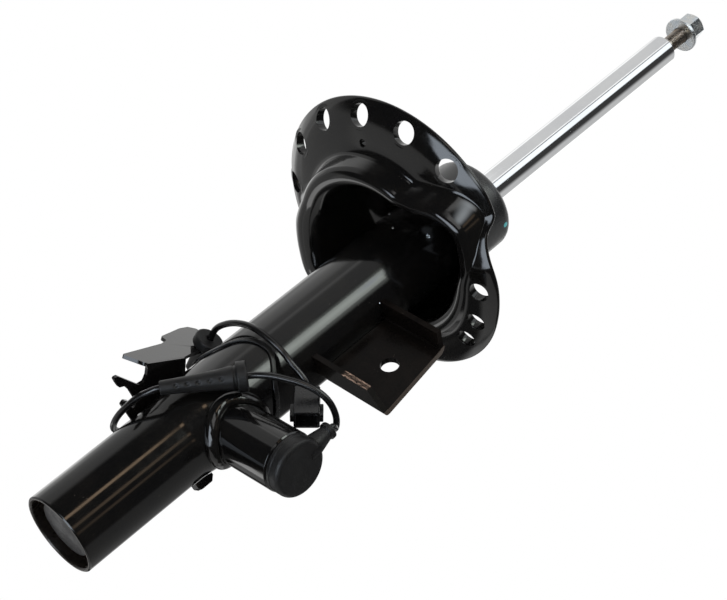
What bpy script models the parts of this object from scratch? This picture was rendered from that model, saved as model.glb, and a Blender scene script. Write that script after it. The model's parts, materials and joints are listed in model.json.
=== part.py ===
"""Front suspension strut with a spring seat, brackets, and a side control valve with its cable.

The strut stands upright: +Z runs along the piston rod, and the origin is the centre of the
tube's lower end, where the wheel carrier clamps it. +X points along the stabiliser bracket.
All sizes are in metres and all angles in degrees unless a name says otherwise.
"""
import math

import bmesh
import bpy
import numpy as np
from mathutils import Matrix, Vector

# ---- clearances ----------------------------------------------------------------------
SEAT_GAP = 0.0003          # between faces that touch on the real strut
SLIDE_GAP = 0.0003         # round the parts that slide or turn

# ---- damper tube ---------------------------------------------------------------------
LOWER_TUBE_RADIUS = 0.028
UPPER_TUBE_RADIUS = 0.0305
LOWER_TUBE_WALL = 0.0027
UPPER_TUBE_WALL = 0.0025
SWAGE_START = 0.094        # the tube widens between these two heights
SWAGE_END = 0.112
TUBE_LENGTH = 0.372
TUBE_EDGE_CHAMFER = 0.0008

# ---- closed lower end ----------------------------------------------------------------
BASE_CAP_DEPTH = 0.009     # how far the end cap sits inside the tube
BASE_CAP_THICKNESS = 0.008
BASE_CAP_BEVEL = 0.003

# ---- inner tubes ---------------------------------------------------------------------
PRESSURE_TUBE_BORE = 0.018
PRESSURE_TUBE_WALL = 0.0015
MIDDLE_TUBE_BORE = 0.022
MIDDLE_TUBE_WALL = 0.0012
MIDDLE_TUBE_BOTTOM = 0.060
MIDDLE_TUBE_BELOW_TOP = 0.072
MIDDLE_TUBE_TOP = TUBE_LENGTH - MIDDLE_TUBE_BELOW_TOP
SEAL_RING_HEIGHT = 0.003
SEAL_RING_INSET = 0.004
BASE_VALVE_FLANGE = 0.003
BASE_VALVE_BOSS = 0.010
BASE_VALVE_BORE = 0.0045
BASE_SHIM_RADIUS = 0.0125
BASE_SHIM_HEIGHT = 0.0014
BASE_BOLT_RADIUS = 0.0040
BASE_BOLT_HEAD_RADIUS = 0.0075
BASE_BOLT_HEAD_HEIGHT = 0.004
BASE_BOLT_TAIL = 0.0015

# ---- piston rod ----------------------------------------------------------------------
ROD_RADIUS = 0.011
ROD_LENGTH = 0.336         # the ground rod, from the piston to the threaded stud
ROD_END_CHAMFER = 0.0014
STUD_RADIUS = 0.006
STUD_LENGTH = 0.040
STUD_CHAMFER = 0.001
PISTON_STUD_RADIUS = 0.007
PISTON_STUD_LENGTH = 0.034
WASHER_RADIUS = 0.0135
WASHER_THICKNESS = 0.0026
WASHER_BELOW_END = 0.0195  # the washer's underside, below the stud's end
NUT_ACROSS_FLATS = 0.018
NUT_HEIGHT = 0.0135
NUT_CHAMFER = 0.0012
NUT_ABOVE_WASHER = 0.0014

# ---- piston --------------------------------------------------------------------------
PISTON_HEIGHT = 0.014
PISTON_BAND_HEIGHT = 0.008
PISTON_BAND_THICKNESS = 0.0012
PISTON_SHIM_RADIUS = 0.013
PISTON_SHIM_HEIGHT = 0.0016
PISTON_NUT_RADIUS = 0.0095
PISTON_NUT_HEIGHT = 0.009
REBOUND_STOP_RADIUS = 0.0155
REBOUND_STOP_HEIGHT = 0.006
REBOUND_STOP_ABOVE = 0.065
REBOUND_BUFFER_HEIGHT = 0.010
REBOUND_BUFFER_INSET = 0.0005
REBOUND_GAP = 0.0007       # left under the rod guide when the rod is fully out

# ---- rod guide and top cap -----------------------------------------------------------
GUIDE_DEPTH = 0.011        # from the tube's upper end down to the guide
GUIDE_LIP_HEIGHT = 0.009
GUIDE_BOSS_HEIGHT = 0.008
GUIDE_TOP = TUBE_LENGTH - GUIDE_DEPTH
GUIDE_LIP_BOTTOM = GUIDE_TOP - GUIDE_LIP_HEIGHT
GUIDE_BOTTOM = GUIDE_LIP_BOTTOM - GUIDE_BOSS_HEIGHT
GUIDE_BORE = 0.0132
BUSH_HEIGHT = 0.014
SEAL_HEIGHT = 0.005
SEAL_LIP_HEIGHT = 0.002
SEAL_LIP_RADIUS = 0.0150
RETAINER_DEPTH = 0.0005
RETAINER_TOP = TUBE_LENGTH - RETAINER_DEPTH
RETAINER_BORE = 0.0165
BUMP_CAP_RADIUS = 0.034
BUMP_CAP_ROOF = 0.0077
BUMP_CAP_HEIGHT = 0.0384
BUMP_CAP_TOP = TUBE_LENGTH + SEAT_GAP + BUMP_CAP_ROOF
BUMP_CAP_SKIRT = BUMP_CAP_TOP - BUMP_CAP_HEIGHT
BUMP_CAP_ROUND = 0.008
BUMP_CAP_ROD_HOLE = 0.0125

# ---- heights of the rod, fully out ---------------------------------------------------
ROD_BOTTOM = (GUIDE_BOTTOM - REBOUND_GAP - REBOUND_BUFFER_HEIGHT - SEAT_GAP
              - REBOUND_STOP_HEIGHT - REBOUND_STOP_ABOVE)
ROD_SHOULDER = ROD_BOTTOM + ROD_LENGTH
STUD_TOP = ROD_SHOULDER + STUD_LENGTH
WASHER_HEIGHT = STUD_TOP - WASHER_BELOW_END
NUT_BOTTOM = WASHER_HEIGHT + WASHER_THICKNESS + NUT_ABOVE_WASHER

# ---- spring seat ---------------------------------------------------------------------
SEAT_SHEET = 0.003
SEAT_OFFSET = 0.0202       # the dish's centre is off the strut's axis, at this azimuth
SEAT_OFFSET_AT = 228.5
SEAT_PLANE_SLOPE = 0.0854
SEAT_PLANE_UP_AT = 304.3
SEAT_CURL = 0.009          # how far the brim turns up towards its rim
SEAT_CURL_REACH = 0.008    # how far in from the rim most of that turning up is done
SEAT_CURL_SLOPE = 0.115    # the slope that is left in the flange's flatter inner part
SEAT_BELOW_CAP = 0.0036
SEAT_NECK_LENGTH = 0.008
SEAT_NECK_BEND = 0.0055
SEAT_PLANE_BELOW = 0.0081
SEAT_NECK_TOP = BUMP_CAP_SKIRT - SEAT_BELOW_CAP
SEAT_NECK_BOTTOM = SEAT_NECK_TOP - SEAT_NECK_LENGTH
SEAT_ROOF_HEIGHT = SEAT_NECK_BOTTOM - SEAT_NECK_BEND
SEAT_PLANE_HEIGHT = SEAT_ROOF_HEIGHT - SEAT_PLANE_BELOW  # on the strut's axis, at the rim
SEAT_LARGE_HOLE_CIRCLE = 0.0877
SEAT_LARGE_HOLE = 0.0158
SEAT_LARGE_HOLES_AT = [182.4, 207.2, 232.0, 256.8, 281.6, 306.4]
SEAT_MEDIUM_HOLE_CIRCLE = 0.0887
SEAT_MEDIUM_HOLE = 0.0136
SEAT_MEDIUM_HOLES_AT = [0.0, 18.5, 34.0]
SEAT_DRAIN_HOLE = 0.0042
SEAT_DRAIN_CIRCLE = 0.0680
SEAT_DRAINS_AT = [256.9]
SEAT_STEPS = 80
# (share of the way from collar to crest, share of the drop) down the dish's inner wall
SEAT_ROOF_SHAPE = [(0.20, 0.0), (0.52, 0.12), (0.74, 0.40), (0.90, 0.80), (1.0, 1.0)]
SEAT_FLANGE_SHARES = [0.0, 0.45, 0.75, 1.0]
# (azimuth about the dish's centre, value) pairs that the dish's outlines pass through
SEAT_RIM_RADII = [(0, 0.1015), (10, 0.1018), (60, 0.1018), (85, 0.1005), (130, 0.0975),
                  (160, 0.0973), (320, 0.0973), (332, 0.0970), (337, 0.0940),
                  (343, 0.0955), (350, 0.0995)]
SEAT_RIM_LIFTS = [(0, -0.0190), (11, -0.0185), (30, -0.0158), (50, -0.0135), (70, -0.0115),
                  (100, -0.006), (130, 0.0), (160, 0.0), (240, 0.0), (320, 0.0),
                  (331, -0.0015), (338, -0.0120), (343, -0.0160), (350, -0.0190)]
SEAT_CURL_SHARES = [(0, 0.5), (40, 0.5), (70, 0.6), (120, 0.9), (150, 1.0), (230, 1.0),
                    (310, 1.0), (330, 0.8), (345, 0.5)]
SEAT_ROOT_RADII = [(0, 0.0795), (34, 0.0790), (60, 0.0780), (100, 0.0780), (142, 0.0780),
                   (174, 0.0780), (186, 0.0690), (198, 0.0625), (220, 0.0617), (260, 0.0625),
                   (297, 0.0625), (308, 0.0710), (320, 0.0860), (330, 0.0905), (345, 0.0860)]
# the ridge under the dish: outer and inner edge of its crest, and its depth under the plane
SEAT_CREST_OUTER = [(0, 0.0775), (18, 0.0760), (34, 0.0740), (60, 0.0700), (100, 0.0650),
                    (142, 0.0620), (174, 0.0610), (200, 0.0585), (240, 0.0585),
                    (295, 0.0585), (307, 0.0635), (320, 0.0775), (332, 0.0860),
                    (345, 0.0830)]
SEAT_CREST_INNER = [(0, 0.0735), (18, 0.0700), (34, 0.0670), (60, 0.0610), (100, 0.0520),
                    (142, 0.0470), (174, 0.0460), (200, 0.0460), (220, 0.0470),
                    (240, 0.0485), (260, 0.0505), (280, 0.0525), (295, 0.0530),
                    (307, 0.0575), (320, 0.0715), (332, 0.0800), (345, 0.0790)]
SEAT_CREST_DEPTHS = [(0, 0.0270), (34, 0.0275), (60, 0.0290), (100, 0.0360), (142, 0.0435),
                     (160, 0.0400), (174, 0.0370), (200, 0.0330), (240, 0.0320),
                     (295, 0.0295), (307, 0.0285), (320, 0.0260), (332, 0.0250),
                     (345, 0.0260)]
SEAT_WELD_SIZE = 0.0026
SEAT_WELD_CROWN_OUT = 0.00156
SEAT_WELD_CROWN_UP = 0.00195

# ---- stabiliser link bracket ---------------------------------------------------------
LINK_SHEET = 0.004
LINK_ROOT = 0.015          # the channel is drawn from here and cut to the tube
LINK_BOTTOM = 0.1905
LINK_TOP = 0.2575
LINK_FLANGE = 0.0175       # how far the flanges stand out from the web's far face
LINK_BEND_RADIUS = 0.005
LINK_REACH_BOTTOM = 0.0890
LINK_REACH_TOP = 0.0792
LINK_CORNER_BOTTOM = 0.0745
LINK_CORNER_TOP = 0.0775
LINK_HOLE = 0.0125
LINK_HOLE_REACH = 0.0622
LINK_HOLE_HEIGHT = 0.2238

# ---- brake hose and wire bracket -----------------------------------------------------
HOSE_SHEET = 0.0025
HOSE_BEND_TILT = 31.7      # the bend line leans this far from the strut's axis
HOSE_BEND_FOOT = (-0.0391, 0.1074)
HOSE_WEB_ROUND = 0.0012
# the web's outline as (y, z), from the bend line round both claws to the weld foot
HOSE_WEB = [(-0.0210, 0.1366), (-0.0391, 0.1074), (-0.0348, 0.1077), (-0.0305, 0.1058),
            (-0.0272, 0.1026), (-0.0278, 0.0985), (-0.0455, 0.0862), (-0.0463, 0.0828),
            (-0.0415, 0.0836), (-0.0367, 0.0848), (-0.0350, 0.0884), (-0.0288, 0.0911),
            (-0.0210, 0.0927), (-0.0150, 0.0925), (-0.0140, 0.0893), (-0.0215, 0.0885),
            (-0.0245, 0.0855), (-0.0230, 0.0825), (-0.0180, 0.0838), (-0.0050, 0.0868),
            (0.0050, 0.0900), (0.0055, 0.1230), (-0.0040, 0.1310)]
# the plate's outline as (distance out from the bend, distance up along the bend)
HOSE_PLATE = [(0.0000, 0.0010), (0.0000, 0.0340), (0.0025, 0.0410), (0.0050, 0.0520),
              (0.0075, 0.0600), (0.0125, 0.0700), (0.0185, 0.0735), (0.0250, 0.0752),
              (0.0335, 0.0755), (0.0375, 0.0710), (0.0370, 0.0630), (0.0300, 0.0405),
              (0.0240, 0.0400), (0.0208, 0.0325), (0.0150, -0.0050), (0.0140, -0.0060)]
HOSE_PLATE_ROUND = 0.0010

# ---- locating tab --------------------------------------------------------------------
TAB_AT = 45.0
TAB_WIDTH = 0.008
TAB_BOTTOM = 0.0862
TAB_TOP = 0.0995
TAB_REACH = 0.0333
TAB_CORNER = 0.002
TAB_TOP_CORNER = 0.003
TAB_ROOT = 0.020           # the tab is drawn from here and cut to the tube

# ---- side control valve --------------------------------------------------------------
VALVE_AT = -5.0            # azimuth of the valve's axis
VALVE_HEIGHT = 0.1222
VALVE_RADIUS = 0.020
VALVE_BORE = 0.0172
VALVE_ROOT = 0.018         # the housing is drawn from here and cut to the tube
VALVE_END = 0.075          # distance from the strut's axis to the open end of the housing
VALVE_FLOOR = 0.036
VALVE_EDGE = 0.0010
PORT_RADIUS = 0.0054
PORT_BORE = 0.003
PORT_END = 0.0395
PORT_ROOT = 0.020
PORT_CUT_BEHIND = 0.001    # how far inside the middle tube its port's cut starts
VALVE_BODY_TOP = 0.0492
COIL_BORE = 0.0060
COIL_TOP = 0.0697
COIL_RADIUS = 0.0166
ARMATURE_RADIUS = 0.0056
ARMATURE_HEIGHT = 0.012
NEEDLE_RADIUS = 0.002
NEEDLE_LENGTH = 0.0035
VALVE_TRAVEL = 0.0015
POLE_STUB_RADIUS = 0.0057
POLE_FLANGE = 0.003
RETURN_SPRING_OUTER = 0.0038
RETURN_SPRING_INNER = 0.0024
RETURN_SPRING_LENGTH = 0.0057
RETAINING_RING_BORE = 0.0140
RETAINING_RING_HEIGHT = 0.0015
WELD_RADIUS = 0.0042
WELD_SPREAD = 0.0014       # the bead's middle is this far out from the housing
WELD_SINK = 0.00063        # the bead's middle is this far out from the tube
WELD_POINTS = 36
WELD_SIDES = 6
COVER_RADIUS = 0.0194
COVER_END = 0.0858
COVER_ROUND = 0.0048
BOOT_LEAN = 5.0            # the cable boot leans from the strut's axis, seen along the valve
BOOT_REACH = 0.0795        # distance of the boot's axis from the strut's axis
BOOT_SIDE = 0.0015
BOOT_FOOT = 0.010
BOOT_TIP = 0.0325
BOOT_FOOT_RADIUS = 0.0068
BOOT_TIP_RADIUS = 0.0047
BOOT_KNOB_RADIUS = 0.0058
BOOT_KNOB_LENGTH = 0.0040
BOOT_KNOB_EDGE = 0.0007
BOOT_SOCKET_DEPTH = 0.004
CUT_BEYOND = 0.010         # how far a blind hole's cutter runs past its mouth

# ---- cable and what sits on it -------------------------------------------------------
CABLE_RADIUS = 0.00215
CABLE_STEP = 0.0095
CABLE_FIT = 0.0004         # round the cable, inside the grommets
CABLE_BOOT_LEAD = 0.001    # the cable runs straight this far out of the boot
CABLE_PLUG_LEAD = 0.003    # and this far into the plug's collar
# hand-picked points of the cable's route, from the boot round to the plug
ROUTE_TO_FRONT_GROMMET = [(0.0763, -0.0050, 0.1605), (0.0745, -0.0105, 0.1640),
                          (0.0700, -0.0185, 0.1652), (0.0634, -0.0252, 0.1638),
                          (0.0549, -0.0302, 0.1600), (0.0457, -0.0335, 0.1548),
                          (0.0355, -0.0358, 0.1484)]
FRONT_GROMMET_TOP = (0.0262, -0.0364, 0.1405)
FRONT_GROMMET_TAIL = (-0.0070, -0.0401, 0.0981)
ROUTE_ROUND_TUBE = [(-0.0119, -0.0381, 0.0925), (-0.0172, -0.0345, 0.0878),
                    (-0.0225, -0.0284, 0.0826), (-0.0283, -0.0203, 0.0775),
                    (-0.0328, -0.0118, 0.0748), (-0.0368, -0.0030, 0.0760),
                    (-0.0408, 0.0070, 0.0825), (-0.0452, 0.0165, 0.0960),
                    (-0.0492, 0.0228, 0.1130), (-0.0510, 0.0225, 0.1290)]
REAR_GROMMET_TAIL = (-0.0485, 0.0102, 0.1495)
REAR_GROMMET_TOP = (-0.0393, -0.0122, 0.1634)
ROUTE_TO_PLUG = [(-0.0352, -0.0205, 0.1665), (-0.0278, -0.0272, 0.1684),
                 (-0.0180, -0.0327, 0.1703), (-0.0070, -0.0362, 0.1716),
                 (0.0014, -0.0369, 0.1718), (0.0092, -0.0358, 0.1719),
                 (0.0166, -0.0332, 0.1720), (0.0232, -0.0298, 0.1721),
                 (0.0300, -0.0262, 0.1712)]
GROMMET_FLANGE_RADIUS = 0.0098
GROMMET_FLANGE_LENGTH = 0.0065
GROMMET_NECK_RADIUS = 0.0074
GROMMET_NECK_LENGTH = 0.0025
GROMMET_BODY_RADIUS = 0.0078
GROMMET_TAIL_RADIUS = 0.0045
GROMMET_TAIL_SWELL = 0.0006
GROMMET_EDGE = 0.0006
GROMMET_STEPS = 20
PLUG_CENTRE = (0.0583, -0.0163, 0.1559)
PLUG_MOUTH_WAY = (0.693, -0.048, -0.720)
PLUG_WIDE_WAY = (0.720, 0.121, 0.684)
PLUG_WIDTH = 0.016
PLUG_THICKNESS = 0.013
PLUG_LENGTH = 0.024
PLUG_WALL = 0.0014
PLUG_MOUTH_DEPTH = 0.0095
PLUG_CORNER = 0.0015
PLUG_MOUTH_CORNER = 0.001
PLUG_COLLAR_LENGTH = 0.0030
PLUG_COLLAR_TIP_RADIUS = 0.0042
PLUG_COLLAR_RADIUS = 0.0046
PLUG_COLLAR_SINK = 0.001
PLUG_WING_LENGTH = 0.010
PLUG_WING_REACH = 0.0022
PLUG_WING_THICKNESS = 0.00585
PLUG_WING_START = 0.0004   # from the plug's middle towards its mouth
TERMINAL_RADIUS = 0.0008
TERMINAL_SPACING = 0.0060
TERMINAL_LENGTH = 0.0055
TERMINAL_SIDE = 0.0024
TIE_WIDTH = 0.0036
TIE_THICKNESS = 0.0013
TIE_SLACK = 0.0001
TIE_HEAD = (0.0060, 0.0056, 0.0045)
TIE_HEAD_AT = 120.0
TIE_HEAD_SINK = 0.0007     # the head's back is this far inside the strap's outer face
TIE_STEPS = 48
# (azimuth, height) pairs that the cable tie passes through on its way round the tube
TIE_HEIGHTS = [(0, 0.1530), (30, 0.1500), (60, 0.1455), (90, 0.1410), (135, 0.1380),
               (180, 0.1375), (215, 0.1405), (235, 0.1465), (245, 0.1530), (254, 0.1600),
               (264, 0.1645), (274, 0.1672), (285, 0.1690), (294, 0.1696), (304, 0.1676),
               (318, 0.1625), (335, 0.1570)]

ROUND_STEPS = 40
INNER_STEPS = 24
SMALL_STEPS = 16


# ---- helpers -------------------------------------------------------------------------
def clear_scene():
    """Remove every object, so that the file can be run again."""
    for item in list(bpy.data.objects):
        bpy.data.objects.remove(item, do_unlink=True)


def make_finish(name, color, roughness, metallic=0.0):
    """A plain material with one colour."""
    finish = bpy.data.materials.new(name)
    finish.use_nodes = True
    shader = finish.node_tree.nodes["Principled BSDF"]
    shader.inputs["Base Color"].default_value = (*color, 1.0)
    shader.inputs["Roughness"].default_value = roughness
    shader.inputs["Metallic"].default_value = metallic
    finish.diffuse_color = (*color, 1.0)
    return finish


def add_object(name, mesh_builder, finish, parent=None):
    """Turn a bmesh into a named, smooth-shaded object with outward faces."""
    bmesh.ops.recalc_face_normals(mesh_builder, faces=mesh_builder.faces)
    if mesh_builder.calc_volume(signed=True) < 0.0:
        bmesh.ops.reverse_faces(mesh_builder, faces=mesh_builder.faces)
    mesh = bpy.data.meshes.new(name)
    mesh_builder.to_mesh(mesh)
    mesh_builder.free()
    mesh.shade_smooth()
    mesh.set_sharp_from_angle(angle=math.radians(35.0))
    item = bpy.data.objects.new(name, mesh)
    bpy.context.scene.collection.objects.link(item)
    item.parent = parent
    if finish is None:
        item.hide_render = True
        item.display_type = "WIRE"
    else:
        mesh.materials.append(finish)
    return item


def turned(name, finish, outline, steps=ROUND_STEPS, parent=None, place=None):
    """Turn a (radius, height) outline about Z. It is closed, or runs from axis to axis."""
    shape = bmesh.new()
    points = [shape.verts.new((radius, 0.0, height)) for radius, height in outline]
    pairs = list(zip(points, points[1:]))
    if outline[0][0] > 0.0 or outline[-1][0] > 0.0:
        pairs.append((points[-1], points[0]))
    edges = [shape.edges.new(pair) for pair in pairs]
    bmesh.ops.spin(shape, geom=points + edges, cent=(0, 0, 0), axis=(0, 0, 1),
                   angle=math.tau, steps=steps, use_merge=True)
    bmesh.ops.remove_doubles(shape, verts=shape.verts, dist=1e-7)
    if place is not None:
        shape.transform(place)
    return add_object(name, shape, finish, parent)


def ring(name, finish, inner, outer, bottom, top, steps=ROUND_STEPS, parent=None, place=None):
    """A plain ring with a square section."""
    outline = [(outer, bottom), (outer, top), (inner, top), (inner, bottom)]
    return turned(name, finish, outline, steps, parent, place)


def extruded(name, finish, outline, depth, parent=None, place=None):
    """Extrude a flat (x, y) outline along +Z by depth, then place it."""
    shape = bmesh.new()
    face = shape.faces.new([shape.verts.new((x, y, 0.0)) for x, y in outline])
    grown = bmesh.ops.extrude_face_region(shape, geom=[face])
    raised = [item for item in grown["geom"] if isinstance(item, bmesh.types.BMVert)]
    bmesh.ops.translate(shape, vec=(0, 0, depth), verts=raised)
    if place is not None:
        shape.transform(place)
    return add_object(name, shape, finish, parent)


def rounded(outline, radius, steps=2):
    """Replace each corner of an (x, y) outline with an arc, limited by its two edges."""
    result = []
    count = len(outline)
    for index in range(count):
        corner = Vector(outline[index])
        to_last = Vector(outline[index - 1]) - corner
        to_next = Vector(outline[(index + 1) % count]) - corner
        half_angle = to_last.angle(to_next) / 2
        if math.degrees(half_angle) > 80.0:
            result.append(tuple(corner))
            continue
        cut = min(radius / math.tan(half_angle), 0.4 * to_last.length, 0.4 * to_next.length)
        start = corner + to_last.normalized() * cut
        end = corner + to_next.normalized() * cut
        for step in range(steps + 1):
            share = step / steps
            near = start.lerp(corner, share)
            far = corner.lerp(end, share)
            result.append(tuple(near.lerp(far, share)))
    return result


def modify(target, kind, other):
    """Add a Boolean modifier that uses another object."""
    change = target.modifiers.new(other.name, "BOOLEAN")
    change.operation = kind
    change.solver = "EXACT"
    change.object = other
    other.hide_render = True
    other.display_type = "WIRE"


def frame(origin, x_way, z_way):
    """The matrix of a place whose X and Z run along the given ways."""
    z_axis = Vector(z_way).normalized()
    y_axis = z_axis.cross(Vector(x_way)).normalized()
    x_axis = y_axis.cross(z_axis)
    turn = Matrix((x_axis, y_axis, z_axis)).transposed()
    return Matrix.Translation(Vector(origin)) @ turn.to_4x4()


def around(pairs, azimuth):
    """Smooth periodic value at an azimuth, through (azimuth, value) pairs, with no overshoot."""
    angles = np.array([pair[0] for pair in pairs], float)
    values = np.array([pair[1] for pair in pairs], float)
    angles = np.concatenate([angles[-2:] - 360, angles, angles[:2] + 360])
    values = np.concatenate([values[-2:], values, values[:2]])
    steps = np.diff(values) / np.diff(angles)
    before, beyond = steps[:-1], steps[1:]
    even = np.where(before + beyond == 0.0, 1.0, before + beyond)
    inner = np.where(before * beyond > 0.0, 2.0 * before * beyond / even, 0.0)
    slopes = np.concatenate([[0.0], inner, [0.0]])
    azimuth = np.mod(azimuth, 360.0)
    index = np.clip(np.searchsorted(angles, azimuth) - 1, 0, len(angles) - 2)
    width = angles[index + 1] - angles[index]
    share = (azimuth - angles[index]) / width
    start, end = values[index], values[index + 1]
    return (start * (1 + 2 * share) * (1 - share) ** 2
            + end * share ** 2 * (3 - 2 * share)
            + slopes[index] * width * share * (1 - share) ** 2
            - slopes[index + 1] * width * share ** 2 * (1 - share))


def on_circle(radius, azimuth, height):
    """A point at an azimuth round the strut's axis."""
    turn = math.radians(azimuth)
    return Vector((radius * math.cos(turn), radius * math.sin(turn), height))


# ---- finishes ------------------------------------------------------------------------
def make_finishes():
    """Every finish of the strut, by name."""
    return {
        "black_coat": make_finish("black_coat", (0.010, 0.010, 0.011), 0.16),
        "rubber": make_finish("rubber", (0.020, 0.020, 0.021), 0.60),
        "plastic": make_finish("plastic", (0.014, 0.014, 0.015), 0.38),
        "chrome": make_finish("chrome", (0.78, 0.79, 0.80), 0.08, 1.0),
        "zinc": make_finish("zinc", (0.62, 0.66, 0.72), 0.30, 1.0),
        "steel": make_finish("steel", (0.45, 0.45, 0.46), 0.35, 1.0),
        "grey_metal": make_finish("grey_metal", (0.20, 0.21, 0.22), 0.45, 1.0),
        "bronze": make_finish("bronze", (0.60, 0.42, 0.22), 0.35, 1.0),
        "copper": make_finish("copper", (0.72, 0.36, 0.20), 0.30, 1.0),
    }


# ---- tubes and inner parts -----------------------------------------------------------
def tube_outline(extra):
    """The outer tube's (radius, height) side, grown outward by extra."""
    return [(LOWER_TUBE_RADIUS + extra, SWAGE_START),
            (UPPER_TUBE_RADIUS + extra, SWAGE_END)]


def tube_space():
    """A cutter of the tube's outer shape and the seating gap, for what is welded on."""
    low, high = tube_outline(SEAT_GAP)
    outline = [(0.0, -TUBE_LENGTH), (low[0], -TUBE_LENGTH), low, high,
               (high[0], 2 * TUBE_LENGTH), (0.0, 2 * TUBE_LENGTH)]
    return turned("tube_space", None, outline)


def make_tubes(finish, valve_axis):
    """The damper tube, the pressure tube and the valve's middle tube."""
    low, high = tube_outline(0.0)
    chamfer = TUBE_EDGE_CHAMFER
    lower_bore = LOWER_TUBE_RADIUS - LOWER_TUBE_WALL
    upper_bore = UPPER_TUBE_RADIUS - UPPER_TUBE_WALL
    outline = [(low[0] - chamfer, 0.0), (low[0], chamfer), low, high,
               (high[0], TUBE_LENGTH), (upper_bore, TUBE_LENGTH), (upper_bore, SWAGE_END),
               (lower_bore, SWAGE_START), (lower_bore, chamfer), (lower_bore + chamfer, 0.0)]
    outer = turned("damper_tube", finish["black_coat"], outline)
    port = plain_cylinder("tube_port", PORT_RADIUS + SEAT_GAP, PORT_ROOT, VALVE_FLOOR,
                          valve_axis)
    modify(outer, "DIFFERENCE", port)

    outer_radius = PRESSURE_TUBE_BORE + PRESSURE_TUBE_WALL
    ring("pressure_tube", finish["steel"], PRESSURE_TUBE_BORE, outer_radius,
         base_valve_seat() + SEAT_GAP, GUIDE_LIP_BOTTOM - SEAT_GAP, INNER_STEPS)

    middle_radius = MIDDLE_TUBE_BORE + MIDDLE_TUBE_WALL
    middle = ring("middle_tube", finish["steel"], MIDDLE_TUBE_BORE, middle_radius,
                  MIDDLE_TUBE_BOTTOM, MIDDLE_TUBE_TOP, INNER_STEPS)
    inlet = plain_cylinder("middle_tube_port", PORT_BORE, MIDDLE_TUBE_BORE - PORT_CUT_BEHIND,
                           VALVE_FLOOR, valve_axis)
    modify(middle, "DIFFERENCE", inlet)
    for name, bottom in (("lower_seal_ring", MIDDLE_TUBE_BOTTOM + SEAL_RING_INSET),
                         ("upper_seal_ring", MIDDLE_TUBE_TOP - SEAL_RING_INSET
                          - SEAL_RING_HEIGHT)):
        ring(name, finish["rubber"], outer_radius + SEAT_GAP, MIDDLE_TUBE_BORE - SEAT_GAP,
             bottom, bottom + SEAL_RING_HEIGHT, INNER_STEPS)


def plain_cylinder(name, radius, start, end, parent, finish=None, steps=SMALL_STEPS):
    """A plain cylinder along its parent's Z, used mostly as a cutter."""
    outline = [(0.0, start), (radius, start), (radius, end), (0.0, end)]
    return turned(name, finish, outline, steps, parent)


def base_valve_seat():
    """Height of the step that the pressure tube stands on."""
    return BASE_CAP_DEPTH + BASE_CAP_THICKNESS + SEAT_GAP + BASE_VALVE_FLANGE


def make_lower_end(finish):
    """The end cap in the tube's mouth, and the base valve that stands on it."""
    bore = LOWER_TUBE_RADIUS - LOWER_TUBE_WALL - SEAT_GAP
    cap_top = BASE_CAP_DEPTH + BASE_CAP_THICKNESS
    socket = BASE_BOLT_HEAD_RADIUS + SEAT_GAP
    socket_floor = cap_top - BASE_BOLT_HEAD_HEIGHT - SEAT_GAP
    turned("base_cap", finish["grey_metal"],
           [(0.0, BASE_CAP_DEPTH), (bore - BASE_CAP_BEVEL, BASE_CAP_DEPTH),
            (bore - BASE_CAP_BEVEL / 3, BASE_CAP_DEPTH + BASE_CAP_BEVEL / 3),
            (bore, BASE_CAP_DEPTH + BASE_CAP_BEVEL), (bore, cap_top), (socket, cap_top),
            (socket, socket_floor), (0.0, socket_floor)])

    valve_bottom = cap_top + SEAT_GAP
    seat = base_valve_seat()
    boss = PRESSURE_TUBE_BORE - SEAT_GAP
    boss_top = seat + BASE_VALVE_BOSS
    turned("base_valve_body", finish["steel"],
           [(bore, valve_bottom), (bore, seat), (boss, seat), (boss, boss_top),
            (BASE_VALVE_BORE, boss_top), (BASE_VALVE_BORE, valve_bottom)], INNER_STEPS)
    shim_bottom = boss_top + SEAT_GAP
    shim_top = shim_bottom + BASE_SHIM_HEIGHT
    ring("base_valve_shims", finish["steel"], BASE_VALVE_BORE, BASE_SHIM_RADIUS,
         shim_bottom, shim_top, SMALL_STEPS)
    head_top = cap_top
    tail_top = shim_top + SEAT_GAP + BASE_BOLT_TAIL
    turned("base_valve_bolt", finish["steel"],
           [(0.0, head_top - BASE_BOLT_HEAD_HEIGHT),
            (BASE_BOLT_HEAD_RADIUS, head_top - BASE_BOLT_HEAD_HEIGHT),
            (BASE_BOLT_HEAD_RADIUS, head_top), (BASE_BOLT_RADIUS, head_top),
            (BASE_BOLT_RADIUS, shim_top + SEAT_GAP),
            (BASE_BOLT_HEAD_RADIUS, shim_top + SEAT_GAP),
            (BASE_BOLT_HEAD_RADIUS, tail_top), (0.0, tail_top)], SMALL_STEPS)


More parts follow.
